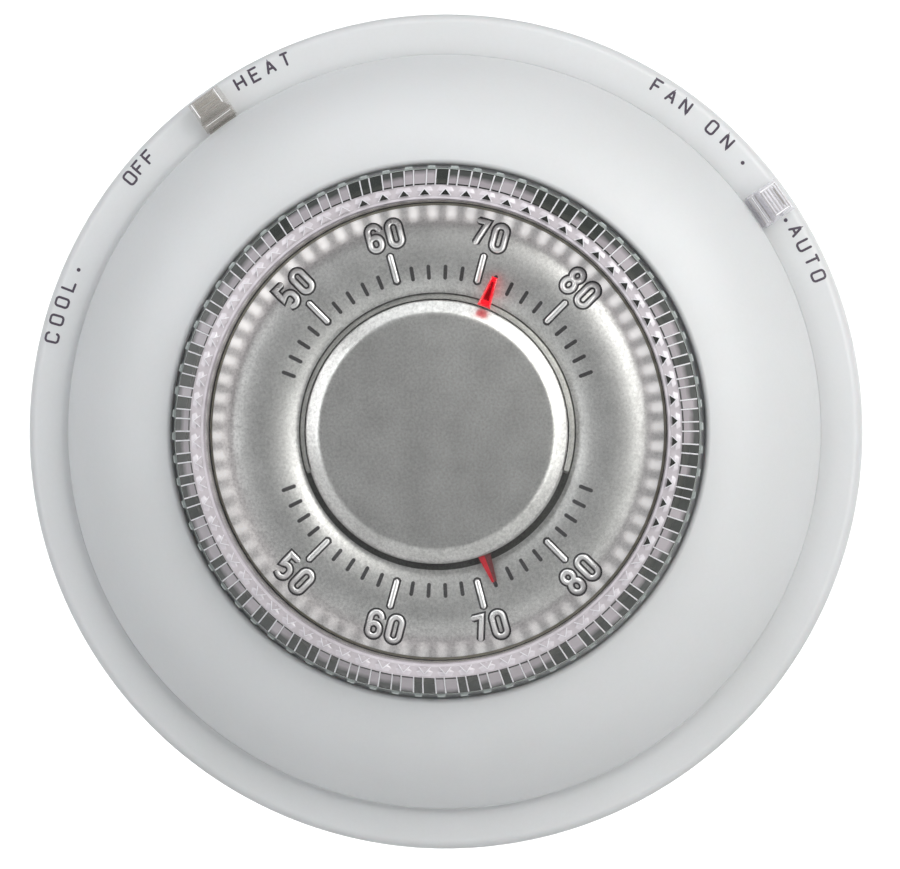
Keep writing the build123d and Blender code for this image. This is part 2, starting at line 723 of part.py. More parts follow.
with BuildPart() as dial_support:
    with BuildSketch(Plane.XZ.offset(support_back)):
        Circle(support_radius)
    extrude(amount=wall_front - support_back)
    with BuildSketch(Plane.XZ.offset(support_back + support_floor)):
        Circle(support_radius - support_wall)
    extrude(amount=wall_front - support_back, mode=Mode.SUBTRACT)
    # Legs that stand on the chassis and stop the bar at each end of its travel.
    with BuildSketch(Plane.XZ.offset(chassis_front)):
        for leg_angle in (90, 270):
            add(sector(leg_inner, leg_outer, leg_angle - leg_half_angle, 2 * leg_half_angle))
        with at_leg_screws():
            Circle(leg_thread_radius + running_gap, mode=Mode.SUBTRACT)
    extrude(amount=support_back - chassis_front)
    # Boss for the centre post.
    with BuildSketch(Plane.XZ.offset(support_back + support_floor)):
        Circle(boss_radius)
    extrude(amount=boss_height)
    with BuildSketch(Plane.XZ.offset(support_back + post_seat)):
        Circle(post_radius + post_fit)
    extrude(amount=support_floor + boss_height, mode=Mode.SUBTRACT)
dial_support.part.label = "dial_support"
export_step(dial_support.part, "parts/dial_support.step")

with BuildPart() as support_screws:
    with BuildSketch(Plane.XZ.offset(chassis_back)):
        with at_leg_screws():
            Circle(leg_head_radius)
    extrude(amount=-leg_head_height)
    with BuildSketch(Plane.XZ.offset(chassis_back)):
        with at_leg_screws():
            Circle(leg_thread_radius)
    extrude(amount=leg_thread_length)
support_screws.part.label = "support_screws"
export_step(support_screws.part, "parts/support_screws.step")

with BuildPart() as dial_plate:
    with BuildSketch(SECTION):
        with BuildLine():
            arch_start, arch_end = crest_radius - crest_half_width, crest_radius + crest_half_width
            foot = Line((dial_plate_bore, scale_depth), (arch_start, scale_depth))
            arch = ThreePointArc(
                foot @ 1, (crest_radius, scale_depth + crest_rise), (arch_end, scale_depth)
            )
            flange = Line(arch @ 1, (dial_plate_radius, scale_depth))
            edge = Line(flange @ 1, (dial_plate_radius, wall_front))
            flange_back = Line(edge @ 1, (arch_end, wall_front))
            arch_back = ThreePointArc(
                flange_back @ 1, (crest_radius, wall_front + crest_rise), (arch_start, wall_front)
            )
            foot_back = Line(arch_back @ 1, (dial_plate_bore, wall_front))
            Line(foot_back @ 1, foot @ 0)
        make_face()
    revolve(axis=Axis.Y)
dial_plate.part.label = "dial_plate"
export_step(dial_plate.part, "parts/dial_plate.step")

with BuildPart() as centre_cap:
    with BuildSketch(SECTION):
        with BuildLine():
            Polyline(
                (0, cap_front),
                (cap_face_radius, cap_front),
                (cap_rim_radius, cap_front - cap_bevel),
                (cap_foot_radius, scale_depth),
                (cap_foot_radius - cap_wall, scale_depth),
                (cap_rim_radius - cap_wall, cap_front - cap_bevel - cap_wall / 2),
                (cap_face_radius - 0.2, cap_front - cap_wall),
                (0, cap_front - cap_wall),
                close=True,
            )
        make_face()
    revolve(axis=Axis.Y)
    # Slot under the rim that the room needle comes out of.
    with BuildSketch(Plane.XZ.offset(scale_depth - 0.1)):
        slot_half_angle = half_scale + slot_margin
        add(sector(slot_inner, cap_foot_radius + 0.5, 270 - slot_half_angle, 2 * slot_half_angle))
    extrude(amount=slot_height + 0.1, mode=Mode.SUBTRACT)
centre_cap.part.label = "centre_cap"
export_step(centre_cap.part, "parts/centre_cap.step")

with BuildPart() as centre_post:
    post_back = support_back + post_seat + 0.1
    with BuildSketch(Plane.XZ.offset(post_back)):
        Circle(post_radius)
    extrude(amount=post_front - post_back)
centre_post.part.label = "centre_post"
export_step(centre_post.part, "parts/centre_post.step")

with BuildPart() as cap_retainer:
    with BuildSketch(Plane.XZ.offset(retainer_back)):
        Circle(retainer_radius)
        Circle(post_radius + post_fit, mode=Mode.SUBTRACT)
    extrude(amount=cap_front - cap_wall - retainer_back)
cap_retainer.part.label = "cap_retainer"
export_step(cap_retainer.part, "parts/cap_retainer.step")

# ---------------------------------------------------------------- thermometer

with BuildPart() as needle_hub:
    with BuildSketch(Plane.XZ.offset(hub_back)):
        Circle(hub_radius)
        Circle(post_radius + running_gap, mode=Mode.SUBTRACT)
    extrude(amount=hub_front - hub_back)
needle_hub.part.label = "needle_hub"
export_step(needle_hub.part, "parts/needle_hub.step")

with BuildPart() as bimetal_coil:
    # Half turns about two centres in turn, each half a pitch wider than the last.
    with BuildLine(Plane.XZ.offset(coil_back + coil_width / 2)) as spiral:
        reach = coil_reach
        for half_turn in range(2 * coil_turns):
            side = 1 if half_turn % 2 else -1
            CenterArc((side * coil_pitch / 4, 0), reach, 0 if side < 0 else 180, 180)
            reach += coil_pitch / 2
    with BuildSketch(Plane(origin=spiral.line @ 0, z_dir=spiral.line % 0, x_dir=(1, 0, 0))):
        Rectangle(coil_thickness, coil_width)
    sweep(path=spiral.line)
bimetal_coil.part.label = "bimetal_coil"
export_step(bimetal_coil.part, "parts/bimetal_coil.step")

with BuildPart() as room_needle:
    with BuildSketch(Plane.XZ.offset(hub_front)):
        Circle(hub_radius)
        add(taper(0, needle_reach, needle_root_width, needle_tip_width, room_needle_angle))
        Circle(post_radius + running_gap, mode=Mode.SUBTRACT)
    extrude(amount=needle_thickness)
room_needle.part.label = "room_needle"
export_step(room_needle.part, "parts/room_needle.step")

# ---------------------------------------------------------------- setting dial

with BuildPart() as drive_collar:
    with BuildSketch(Plane.XZ.offset(collar_back)):
        Circle(collar_radius)
        Circle(collar_bore, mode=Mode.SUBTRACT)
        with PolarLocations(bar_screw_circle, 2, bar_angle):
            Circle(bar_hole_radius, mode=Mode.SUBTRACT)
    extrude(amount=dial_back_depth - collar_back)
drive_collar.part.label = "drive_collar"
export_step(drive_collar.part, "parts/drive_collar.step")

with BuildPart() as clear_ring:
    with BuildSketch(Plane.XZ.offset(dial_back_depth)):
        Circle(dial_radius)
        with PolarLocations(dial_radius + knurl_offset, knurl_count):
            Circle(knurl_radius, mode=Mode.SUBTRACT)
        Circle(collar_bore, mode=Mode.SUBTRACT)
    extrude(amount=dial_front_depth - dial_back_depth)
    # The slope that narrows the ring from its side wall to its front.
    with BuildSketch(SECTION):
        with BuildLine():
            Polyline(
                (slope_outer, slope_foot),
                (slope_inner, dial_front_depth),
                (dial_radius + knurl_radius, dial_front_depth),
                (dial_radius + knurl_radius, slope_foot),
                close=True,
            )
        make_face()
    revolve(axis=Axis.Y, mode=Mode.SUBTRACT)
    with BuildSketch(Plane.XZ.offset(window_back)):
        Circle(window_radius + press_gap)
    extrude(amount=window_thickness, mode=Mode.SUBTRACT)
    with BuildSketch(Plane.XZ.offset(window_back + window_thickness)):
        Circle(window_radius + press_gap)
    extrude(amount=dial_front_depth, mode=Mode.SUBTRACT)
clear_ring.part.label = "clear_ring"
export_step(clear_ring.part, "parts/clear_ring.step")

with BuildPart() as dial_window:
    with BuildSketch(Plane.XZ.offset(window_back)):
        Circle(window_radius)
    extrude(amount=window_thickness)
dial_window.part.label = "dial_window"
export_step(dial_window.part, "parts/dial_window.step")

with BuildPart() as set_pointer:
    with BuildSketch(Plane.XZ.offset(window_back)):
        add(
            taper(pointer_inner, pointer_outer, pointer_root_width, pointer_tip_width, set_pointer_angle)
        )
    extrude(amount=-pointer_height)
set_pointer.part.label = "set_pointer"
export_step(set_pointer.part, "parts/set_pointer.step")

# ---------------------------------------------------------------- cover

# The dome's arc passes through both rims and turns through cover_turn between them.
rise = cover_hole_depth - cover_edge_depth
span = cover_radius - cover_hole_radius
chord = math.hypot(rise, span)
dome_radius = chord / 2 / math.sin(math.radians(cover_turn / 2))
centre_offset = dome_radius * math.cos(math.radians(cover_turn / 2))
dome_centre_radius = (cover_radius + cover_hole_radius) / 2 - rise / chord * centre_offset
dome_centre_depth = (cover_edge_depth + cover_hole_depth) / 2 - span / chord * centre_offset
inner_dome_radius = dome_radius - cover_wall


def dome_arc(radius):
    """The part of a circle about the dome's centre from the cover's edge to its hole."""
    start = math.degrees(math.asin((cover_edge_depth - dome_centre_depth) / radius))
    end = math.degrees(math.acos((cover_hole_radius - dome_centre_radius) / radius))
    return CenterArc((dome_centre_radius, dome_centre_depth), radius, start, end - start)


with BuildPart() as cover:
    with BuildSketch(SECTION) as cover_section:
        with BuildLine():
            outer_arc = dome_arc(dome_radius)
            inner_arc = dome_arc(inner_dome_radius)
            Line(outer_arc @ 0, inner_arc @ 0)
            Line(outer_arc @ 1, inner_arc @ 1)
        make_face()
        fillet(cover_section.vertices().sort_by(Axis.Y)[-1], cover_lip_fillet)
    revolve(axis=Axis.Y)
    # Legs that spring over the chassis.
    with BuildSketch(Plane.XZ.offset(cover_leg_back)):
        for leg_angle in cover_leg_angles:
            leg_start = leg_angle - cover_leg_half_angle
            add(sector(cover_leg_inner, cover_leg_outer, leg_start, 2 * cover_leg_half_angle))
    extrude(amount=cover_leg_front - cover_leg_back)
    # Skirt inside the bezel's lip, open where the two levers slide.
    fan_gap_start = fan_lever_angle - lever_gap_half_angle
    fan_gap_end = fan_lever_angle + fan_travel + lever_gap_half_angle
    system_gap_start = system_lever_angle - lever_gap_half_angle
    system_gap_end = system_lever_angle + system_travel + lever_gap_half_angle
    with BuildSketch(Plane.XZ.offset(skirt_back)):
        add(sector(skirt_inner, skirt_outer, fan_gap_end, system_gap_start - fan_gap_end))
        add(sector(skirt_inner, skirt_outer, system_gap_end, 360 + fan_gap_start - system_gap_end))
    extrude(amount=skirt_front - skirt_back)
cover.part.label = "cover"
export_step(cover.part, "parts/cover.step")

# One spring for each leg, on the edge of the chassis.
springs = [cover_spring(leg_angle) for leg_angle in cover_leg_angles]
cover_springs = Compound(label="cover_springs", children=springs)
export_step(cover_springs, "parts/cover_springs.step")
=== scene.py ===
"""Looks of a round heat and cool wall thermostat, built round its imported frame.

Lengths in the classes are millimetres. A radius is taken from the dial's axis, and a depth is a distance
out from the wall. An angle is seen from the front, counter-clockwise from the right, in degrees.
"""

import json
import logging
import math
import random
from dataclasses import dataclass
from enum import Enum
from typing import Callable, Sequence

import bmesh
import bpy
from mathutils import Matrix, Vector

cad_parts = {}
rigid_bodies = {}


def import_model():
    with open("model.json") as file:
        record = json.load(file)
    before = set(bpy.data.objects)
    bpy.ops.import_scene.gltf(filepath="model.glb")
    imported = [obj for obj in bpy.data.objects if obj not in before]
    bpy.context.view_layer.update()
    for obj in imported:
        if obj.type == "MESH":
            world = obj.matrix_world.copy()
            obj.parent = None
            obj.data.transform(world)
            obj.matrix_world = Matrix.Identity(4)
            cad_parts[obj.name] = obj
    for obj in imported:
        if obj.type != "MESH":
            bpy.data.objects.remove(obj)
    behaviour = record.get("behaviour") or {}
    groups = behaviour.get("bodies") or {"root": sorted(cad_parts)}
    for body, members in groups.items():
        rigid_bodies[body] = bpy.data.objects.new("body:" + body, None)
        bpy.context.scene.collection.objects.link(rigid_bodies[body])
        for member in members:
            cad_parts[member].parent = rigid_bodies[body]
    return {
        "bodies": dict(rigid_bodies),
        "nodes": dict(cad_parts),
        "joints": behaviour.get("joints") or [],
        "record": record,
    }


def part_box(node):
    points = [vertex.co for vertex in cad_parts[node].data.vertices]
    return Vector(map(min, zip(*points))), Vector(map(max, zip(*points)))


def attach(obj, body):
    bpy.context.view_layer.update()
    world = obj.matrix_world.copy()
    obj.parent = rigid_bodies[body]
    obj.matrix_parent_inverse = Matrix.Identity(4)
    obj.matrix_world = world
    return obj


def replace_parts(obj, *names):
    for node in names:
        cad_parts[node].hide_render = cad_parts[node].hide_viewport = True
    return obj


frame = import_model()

LOG = logging.getLogger("thermostat")
MM = 0.001

Flat = tuple[float, float]
Solid = tuple[float, float, float]
Surface = Callable[[float], float]
Socket = bpy.types.NodeSocket


class Slot(Enum):
    """The record's material slots; each built piece passes one to its build, which doesn't read it."""

    WHITE = "white_plastic"
    GREY = "grey_plastic"
    CLEAR = "clear_plastic"
    RED_CLEAR = "red_translucent"
    RED = "red_paint"
    METAL = "satin_metal"


class Body(Enum):
    """The bodies that the pieces ride on."""

    BASE = "base"
    DIAL = "setting_dial"
    NEEDLE = "thermometer_needle"
    SYSTEM = "system_switch"
    FAN = "fan_switch"
    COVER = "lift_off_cover"


# ---------------------------------------------------------------- finishes


class Tree:
    """Short calls for building one material's node tree."""

    def __init__(self, name: str) -> None:
        """Makes an empty material.

        Args:
            name: The material's name.
        """
        self.material = bpy.data.materials.new(name)
        self.material.use_nodes = True
        self.tree = self.material.node_tree
        self.tree.nodes.clear()
        self.place = self.add("ShaderNodeTexCoord").outputs["Object"]

    def add(self, kind: str, **inputs: object) -> bpy.types.Node:
        """Adds a node and sets or links its inputs.

        Args:
            kind: Blender's name for the node.
            **inputs: A value or an output socket for each named input; an underscore stands for a space.

        Returns:
            The new node.
        """
        node = self.tree.nodes.new(kind)
        for key, value in inputs.items():
            socket = node.inputs[key.replace("_", " ")]
            if isinstance(value, bpy.types.NodeSocket):
                self.tree.links.new(value, socket)
            else:
                socket.default_value = value
        return node

    def math(self, operation: str, first: float | Socket, second: float | Socket = 0.0) -> Socket:
        """One sum on one or two numbers.

        Args:
            operation: Blender's name for the sum.
            first: The first number, or the socket it comes from.
            second: The second number, or the socket it comes from.

        Returns:
            The socket with the answer.
        """
        node = self.tree.nodes.new("ShaderNodeMath")
        node.operation = operation
        for socket, value in zip(node.inputs, (first, second)):
            if isinstance(value, bpy.types.NodeSocket):
                self.tree.links.new(value, socket)
            else:
                socket.default_value = value
        return node.outputs[0]

    def noise(self, scale: float, detail: float = 2.0, roughness: float = 0.5) -> Socket:
        """A noise pattern fixed to the piece.

        Args:
            scale: How many features there are in a metre.
            detail: How many finer layers are added.
            roughness: How strong the finer layers are.

        Returns:
            The socket with the noise, from 0 to 1.
        """
        node = self.add(
            "ShaderNodeTexNoise", Vector=self.place, Scale=scale, Detail=detail, Roughness=roughness
        )
        return node.outputs["Fac"]

    def span(self, value: Socket, low: float, high: float, start: float = 0.0, end: float = 1.0) -> Socket:
        """Stretches a number from one range to another, and keeps it inside.

        Args:
            value: The socket with the number.
            low: The number that becomes start.
            high: The number that becomes end.
            start: What the lowest number becomes.
            end: What the highest number becomes.

        Returns:
            The socket with the stretched number.
        """
        node = self.add("ShaderNodeMapRange", Value=value)
        for key, number in (("From Min", low), ("From Max", high), ("To Min", start), ("To Max", end)):
            node.inputs[key].default_value = number
        return node.outputs["Result"]

    def ramp(self, value: Socket, stops: Sequence[tuple[float, Solid]]) -> Socket:
        """Turns a number into a colour.

        Args:
            value: The socket with the number, from 0 to 1.
            stops: A place and a colour for each stop, in order.

        Returns:
            The socket with the colour.
        """
        node = self.add("ShaderNodeValToRGB", Fac=value)
        bar = node.color_ramp.elements
        while len(bar) < len(stops):
            bar.new(0.5)
        for element, (place, colour) in zip(bar, stops):
            element.position = place
            element.color = (*colour, 1.0)
        return node.outputs["Color"]

    def radius(self) -> Socket:
        """The distance from the dial's axis, in millimetres."""
        axes = self.add("ShaderNodeSeparateXYZ", Vector=self.place)
        across = self.math("MULTIPLY", axes.outputs["X"], axes.outputs["X"])
        up = self.math("MULTIPLY", axes.outputs["Z"], axes.outputs["Z"])
        return self.math("MULTIPLY", self.math("SQRT", self.math("ADD", across, up)), 1.0 / MM)

    def angle(self) -> Socket:
        """The angle round the dial's axis, in radians."""
        axes = self.add("ShaderNodeSeparateXYZ", Vector=self.place)
        return self.math("ARCTAN2", axes.outputs["Z"], axes.outputs["X"])

    def bump(self, height: Socket, strength: float, distance: float) -> Socket:
        """A bumped normal.

        Args:
            height: The socket with the height.
            strength: How strongly the bump counts.
            distance: The height of the bump, in millimetres.

        Returns:
            The socket with the normal.
        """
        node = self.add("ShaderNodeBump", Height=height, Strength=strength, Distance=distance * MM)
        return node.outputs["Normal"]

    def finish(self, shader: bpy.types.Node) -> bpy.types.Material:
        """Puts a shader on the material's output and returns the material."""
        self.add("ShaderNodeOutputMaterial", Surface=shader.outputs[0])
        return self.material


@dataclass(frozen=True)
class Moulded:
    """An opaque surface with a fine grain, uneven gloss and slight marks of use."""

    name: str
    colour: Solid
    worn: Solid
    roughness: float = 0.4
    grain: float = 2400.0
    grain_height: float = 0.01
    patches: float = 45.0
    metallic: float = 0.0
    coat: float = 0.0
    scatter: float = 0.0

    def make(self) -> bpy.types.Material:
        """Builds the material."""
        tree = Tree(self.name)
        cloud = tree.noise(self.patches, 3.0)
        speck = tree.noise(self.grain, 2.0, 0.6)
        blend = tree.math("ADD", tree.math("MULTIPLY", cloud, 0.7), tree.math("MULTIPLY", speck, 0.3))
        colour = tree.ramp(blend, ((0.3, self.worn), (0.62, self.colour)))
        gloss = tree.span(blend, 0.3, 0.7, self.roughness + 0.07, self.roughness - 0.05)
        shader = tree.add("ShaderNodeBsdfPrincipled", Base_Color=colour, Roughness=gloss)
        shader.inputs["Metallic"].default_value = self.metallic
        shader.inputs["Coat Weight"].default_value = self.coat
        shader.inputs["Coat Roughness"].default_value = 0.1
        if self.scatter:
            shader.inputs["Subsurface Weight"].default_value = self.scatter
            shader.inputs["Subsurface Scale"].default_value = MM
        normal = tree.bump(speck, 0.25, self.grain_height)
        tree.tree.links.new(normal, shader.inputs["Normal"])
        return tree.finish(shader)


@dataclass(frozen=True)
class SatinMetal:
    """Bright sheet metal with a fine sandblasted grain and faint marks turned round the axis. Where asked, it
    has a ring of painted glints near its rim: painted highlights with emission, in place of the light that
    the clear ring's facets throw.
    """

    name: str
    colour: Solid = (0.97, 0.97, 0.945)
    dull: Solid = (0.66, 0.66, 0.64)
    roughness: float = 0.35
    glints_from: float = 0.0
    glints_to: float = 0.0
    glint_count: int = 72
    glow: float = 0.42

    def make(self) -> bpy.types.Material:
        """Builds the material."""
        tree = Tree(self.name)
        speck = tree.noise(2600.0, 2.0, 0.7)
        cloud = tree.noise(30.0, 2.0)
        radius = tree.radius()
        turned = tree.add("ShaderNodeTexNoise", Scale=9.0, Detail=4.0)
        turned.noise_dimensions = "1D"
        tree.tree.links.new(radius, turned.inputs["W"])
        mixed = tree.math("ADD", tree.math("MULTIPLY", speck, 0.78), tree.math("MULTIPLY", cloud, 0.1))
        mixed = tree.math("ADD", mixed, tree.math("MULTIPLY", turned.outputs["Fac"], 0.12))
        colour = tree.ramp(mixed, ((0.36, self.dull), (0.64, self.colour)))
        gloss = tree.span(mixed, 0.3, 0.7, self.roughness + 0.05, self.roughness - 0.05)
        shader = tree.add("ShaderNodeBsdfPrincipled", Roughness=gloss, Metallic=1.0)
        # Painted light: the glints are painted into the colour, the metallic share and an emission.
        if self.glints_to > self.glints_from:
            amount = self._glints(tree, radius)
            colour = self._paler(tree, amount, colour)
            tree.tree.links.new(tree.math("SUBTRACT", 1.0, amount), shader.inputs["Metallic"])
            tree.tree.links.new(tree.math("MULTIPLY", amount, self.glow), shader.inputs["Emission Strength"])
            shader.inputs["Emission Color"].default_value = (1.0, 0.98, 0.97, 1.0)
        tree.tree.links.new(colour, shader.inputs["Base Color"])
        tree.tree.links.new(tree.bump(speck, 0.35, 0.014), shader.inputs["Normal"])
        return tree.finish(shader)

    def _glints(self, tree: Tree, radius: Socket) -> Socket:
        """How strongly the painted glints show, once for each facet: painted light in place of the light that
        the ring's facets throw on the plate.

        Args:
            tree: The material's tree.
            radius: The socket with the radius.

        Returns:
            The socket with the amount, from 0 to 1.
        """
        middle = (self.glints_from + self.glints_to) / 2
        half = (self.glints_to - self.glints_from) / 2
        across = tree.span(tree.math("ABSOLUTE", tree.math("SUBTRACT", radius, middle)), half, half * 0.3)
        wave = tree.math("SINE", tree.math("MULTIPLY", tree.angle(), float(self.glint_count)))
        # Painted light: the glints fade towards the bottom, as the light from above falls.
        lean = tree.math("COSINE", tree.math("SUBTRACT", tree.angle(), math.radians(75.0)))
        each = tree.span(wave, -0.8, 0.9, 0.25, 1.0)
        lit = tree.math("MULTIPLY", each, across)
        return tree.math("MULTIPLY", lit, tree.span(lean, -1.0, 0.6, 0.35, 1.0))

    @staticmethod
    def _paler(tree: Tree, amount: Socket, colour: Socket) -> Socket:
        """Mixes a colour with near white, the colour of the painted glints.

        Args:
            tree: The material's tree.
            amount: The socket with the share of white.
            colour: The socket with the colour.

        Returns:
            The socket with the mixed colour.
        """
        node = tree.tree.nodes.new("ShaderNodeMix")
        node.data_type = "RGBA"
        tree.tree.links.new(amount, node.inputs[0])
        tree.tree.links.new(colour, node.inputs[6])
        node.inputs[7].default_value = (1.0, 0.98, 0.96, 1.0)
        return node.outputs[2]


@dataclass(frozen=True)
class ClearPlastic:
    """Clear plastic: a tinted see-through body with a gloss that grows towards the edges."""

    name: str
    tint: Solid = (0.93, 0.92, 0.94)
    gloss: float = 0.08
    roughness: float = 0.08
    body: float = 0.0
    haze: Solid = (0.9, 0.9, 0.9)

    def make(self) -> bpy.types.Material:
        """Builds the material."""
        tree = Tree(self.name)
        cloud = tree.noise(260.0, 2.0)
        low = tuple(channel * 0.94 for channel in self.tint)
        tint = tree.ramp(cloud, ((0.35, low), (0.65, self.tint)))
        clear = tree.add("ShaderNodeBsdfTransparent", Color=tint)
        rough = tree.span(cloud, 0.3, 0.7, self.roughness * 1.3, self.roughness * 0.8)
        shine = tree.add("ShaderNodeBsdfGlossy", Color=(0.95, 0.94, 0.97, 1.0), Roughness=rough)
        tree.tree.links.new(tree.bump(tree.noise(400.0), 0.05, 0.005), shine.inputs["Normal"])
        facing = tree.add("ShaderNodeLayerWeight", Blend=0.5).outputs["Facing"]
        share = tree.math("ADD", tree.math("MULTIPLY", tree.math("POWER", facing, 4.0), 0.6), self.gloss)
        if self.body:
            haze = tree.add("ShaderNodeBsdfDiffuse", Color=(*self.haze, 1.0))
            core = tree.tree.nodes.new("ShaderNodeMixShader")
            core.inputs[0].default_value = self.body
            tree.tree.links.new(clear.outputs[0], core.inputs[1])
            tree.tree.links.new(haze.outputs[0], core.inputs[2])
            clear = core
        mix = tree.tree.nodes.new("ShaderNodeMixShader")
        tree.tree.links.new(share, mix.inputs[0])
        tree.tree.links.new(clear.outputs[0], mix.inputs[1])
        tree.tree.links.new(shine.outputs[0], mix.inputs[2])
        return tree.finish(mix)


@dataclass(frozen=True)
class RingCell:
    """Painted refraction in one cell of the clear ring: a dark outer end that pales inwards."""

    name: str
    outer_colour: Solid
    inner_colour: Solid
    turn_radius: float
    turn_width: float = 0.35

    def make(self) -> bpy.types.Material:
        """Builds the material."""
        tree = Tree(self.name)
        wobble = tree.math("MULTIPLY", tree.math("SUBTRACT", tree.noise(700.0), 0.5), 0.5)
        place = tree.math("ADD", tree.radius(), wobble)
        share = tree.span(place, self.turn_radius - self.turn_width, self.turn_radius + self.turn_width)
        colour = tree.ramp(share, ((0.0, self.inner_colour), (1.0, self.outer_colour)))
        rough = tree.span(tree.noise(500.0), 0.3, 0.7, 0.2, 0.1)
        shader = tree.add("ShaderNodeBsdfPrincipled", Base_Color=colour, Roughness=rough)
        shader.inputs["Coat Weight"].default_value = 0.25
        shader.inputs["Coat Roughness"].default_value = 0.05
        return tree.finish(shader)


@dataclass(frozen=True)
class RedClear:
    """Clear red plastic whose edges are lit with painted light: an emission stands in for the light that it
    gathers there.
    """

    name: str
    colour: Solid
    glow: float

    def make(self) -> bpy.types.Material:
        """Builds the material."""
        tree = Tree(self.name)
        deep = tuple(channel * 0.6 for channel in self.colour)
        colour = tree.ramp(tree.noise(1600.0), ((0.35, deep), (0.65, self.colour)))
        shader = tree.add("ShaderNodeBsdfPrincipled", Base_Color=colour, Roughness=0.12)
        shader.inputs["Emission Color"].default_value = (*self.colour, 1.0)
        shader.inputs["Emission Strength"].default_value = self.glow
        shader.inputs["Coat Weight"].default_value = 0.4
        shader.inputs["Coat Roughness"].default_value = 0.05
        return tree.finish(shader)


@dataclass(frozen=True)
class Paper:
    """Matt backdrop paper, pale behind the object, with painted shade that greys it towards the front of the
    stage so that the metal reflects a darker front.
    """

    name: str = "floor_paper"
    pale: Solid = (0.86, 0.86, 0.86)
    grey: Solid = (0.52, 0.525, 0.53)
    pale_from: float = 0.15
    grey_from: float = -0.5

    def make(self) -> bpy.types.Material:
        """Builds the material."""
        tree = Tree(self.name)
        axes = tree.add("ShaderNodeSeparateXYZ", Vector=tree.place)
        cloud = tree.math("MULTIPLY", tree.math("SUBTRACT", tree.noise(3.0), 0.5), 0.06)
        # Painted shade: the share of grey grows towards the front.
        share = tree.math("ADD", tree.span(axes.outputs["Y"], self.grey_from, self.pale_from), cloud)
        colour = tree.ramp(share, ((0.0, self.grey), (1.0, self.pale)))
        shader = tree.add("ShaderNodeBsdfPrincipled", Base_Color=colour, Roughness=0.85)
        tree.tree.links.new(tree.bump(tree.noise(500.0), 0.1, 0.1), shader.inputs["Normal"])
        return tree.finish(shader)


WHITE = Moulded("white_shell", (0.615, 0.625, 0.635), (0.59, 0.60, 0.605), 0.42, scatter=0.04)
MARK_INK = Moulded("label_ink", (0.05, 0.035, 0.055), (0.07, 0.055, 0.08), 0.5)
TICK_INK = Moulded("tick_ink", (0.03, 0.028, 0.03), (0.05, 0.048, 0.05), 0.6)
# The plate's metal has painted glints just inside the clear ring.
PLATE_METAL = SatinMetal("dial_plate_metal", glints_from=27.3, glints_to=30.5)
CAP_METAL = SatinMetal("cap_metal", (0.93, 0.93, 0.90), (0.60, 0.60, 0.58), 0.34)
NUMBER_METAL = Moulded(
    "number_metal", (0.90, 0.90, 0.89), (0.80, 0.80, 0.79), 0.22, 2600.0, 0.004, 300.0, 0.55
)
# Dark metal for the painted shadow round the cap's foot.
SHADOW_PAINT_METAL = SatinMetal("slot_painted_shadow", (0.16, 0.16, 0.15), (0.10, 0.10, 0.095), 0.4)
# The clear ring is built opaque, and these finishes paint what light does in it: painted refraction and
# painted highlights in the ribs, rim line, facets and bore, and painted shade in the dark bands and lines.
RING_RIB = Moulded("ring_rib", (0.80, 0.79, 0.82), (0.66, 0.65, 0.68), 0.12, 900.0, 0.004, coat=0.6)
RING_RIM = Moulded("ring_rim", (0.075, 0.08, 0.07), (0.12, 0.125, 0.115), 0.14, 900.0, 0.004, coat=0.5)
RING_LINE = Moulded("ring_line", (0.42, 0.46, 0.45), (0.28, 0.31, 0.30), 0.14, 900.0, 0.004, coat=0.6)
RING_FACET = Moulded("ring_facet", (0.66, 0.62, 0.66), (0.50, 0.47, 0.50), 0.1, 900.0, 0.004, coat=0.8)
RING_BED = Moulded("ring_bed", (0.56, 0.52, 0.55), (0.42, 0.39, 0.41), 0.16, 900.0, 0.004, coat=0.6)
RING_DARK = Moulded("ring_dark", (0.02, 0.021, 0.019), (0.04, 0.04, 0.037), 0.2, coat=0.4)
CELL_BLACK = RingCell("cell_black", (0.03, 0.034, 0.03), (0.055, 0.057, 0.05), 32.6)
CELL_MIXED = RingCell("cell_mixed", (0.06, 0.064, 0.06), (0.34, 0.31, 0.33), 33.1)
CELL_PALE = RingCell("cell_pale", (0.13, 0.125, 0.13), (0.42, 0.385, 0.41), 33.7)
WINDOW = ClearPlastic("window_clear", (0.99, 0.99, 0.99), 0.02, 0.05)
LEVER_CLEAR = ClearPlastic("lever_clear", (0.985, 0.98, 0.99), 0.03, 0.07, 0.3, (0.97, 0.96, 0.985))
LEVER_SMOKY = ClearPlastic("lever_smoky", (0.95, 0.94, 0.925), 0.03, 0.09, 0.22, (0.52, 0.50, 0.465))
# Painted shade lines and painted highlight lines that mark the edges, grooves and step of the clear levers.
LEVER_SHADE_LINE = Moulded("lever_painted_shade", (0.36, 0.34, 0.33), (0.26, 0.24, 0.23), 0.15, coat=0.5)
LEVER_HIGHLIGHT = Moulded("lever_painted_highlight", (0.92, 0.91, 0.93), (0.80, 0.79, 0.81), 0.1, coat=0.8)
# Lit and shaded copies of one red plastic: the pointer's edges carry painted light by emission, and its core
# is painted darker as shade.
RED_LIT_EDGE = RedClear("pointer_painted_light_edge", (0.86, 0.015, 0.03), 0.55)
RED_SHADED_CORE = RedClear("pointer_painted_shade_core", (0.30, 0.004, 0.01), 0.1)
RED_PAINT = Moulded("needle_paint", (0.62, 0.02, 0.035), (0.46, 0.015, 0.025), 0.4)
# Painted shade: the darker red of one half of the needle's blade.
RED_SHADED_HALF = Moulded("needle_painted_shade", (0.13, 0.012, 0.014), (0.09, 0.01, 0.012), 0.5)


# ---------------------------------------------------------------- mesh tools


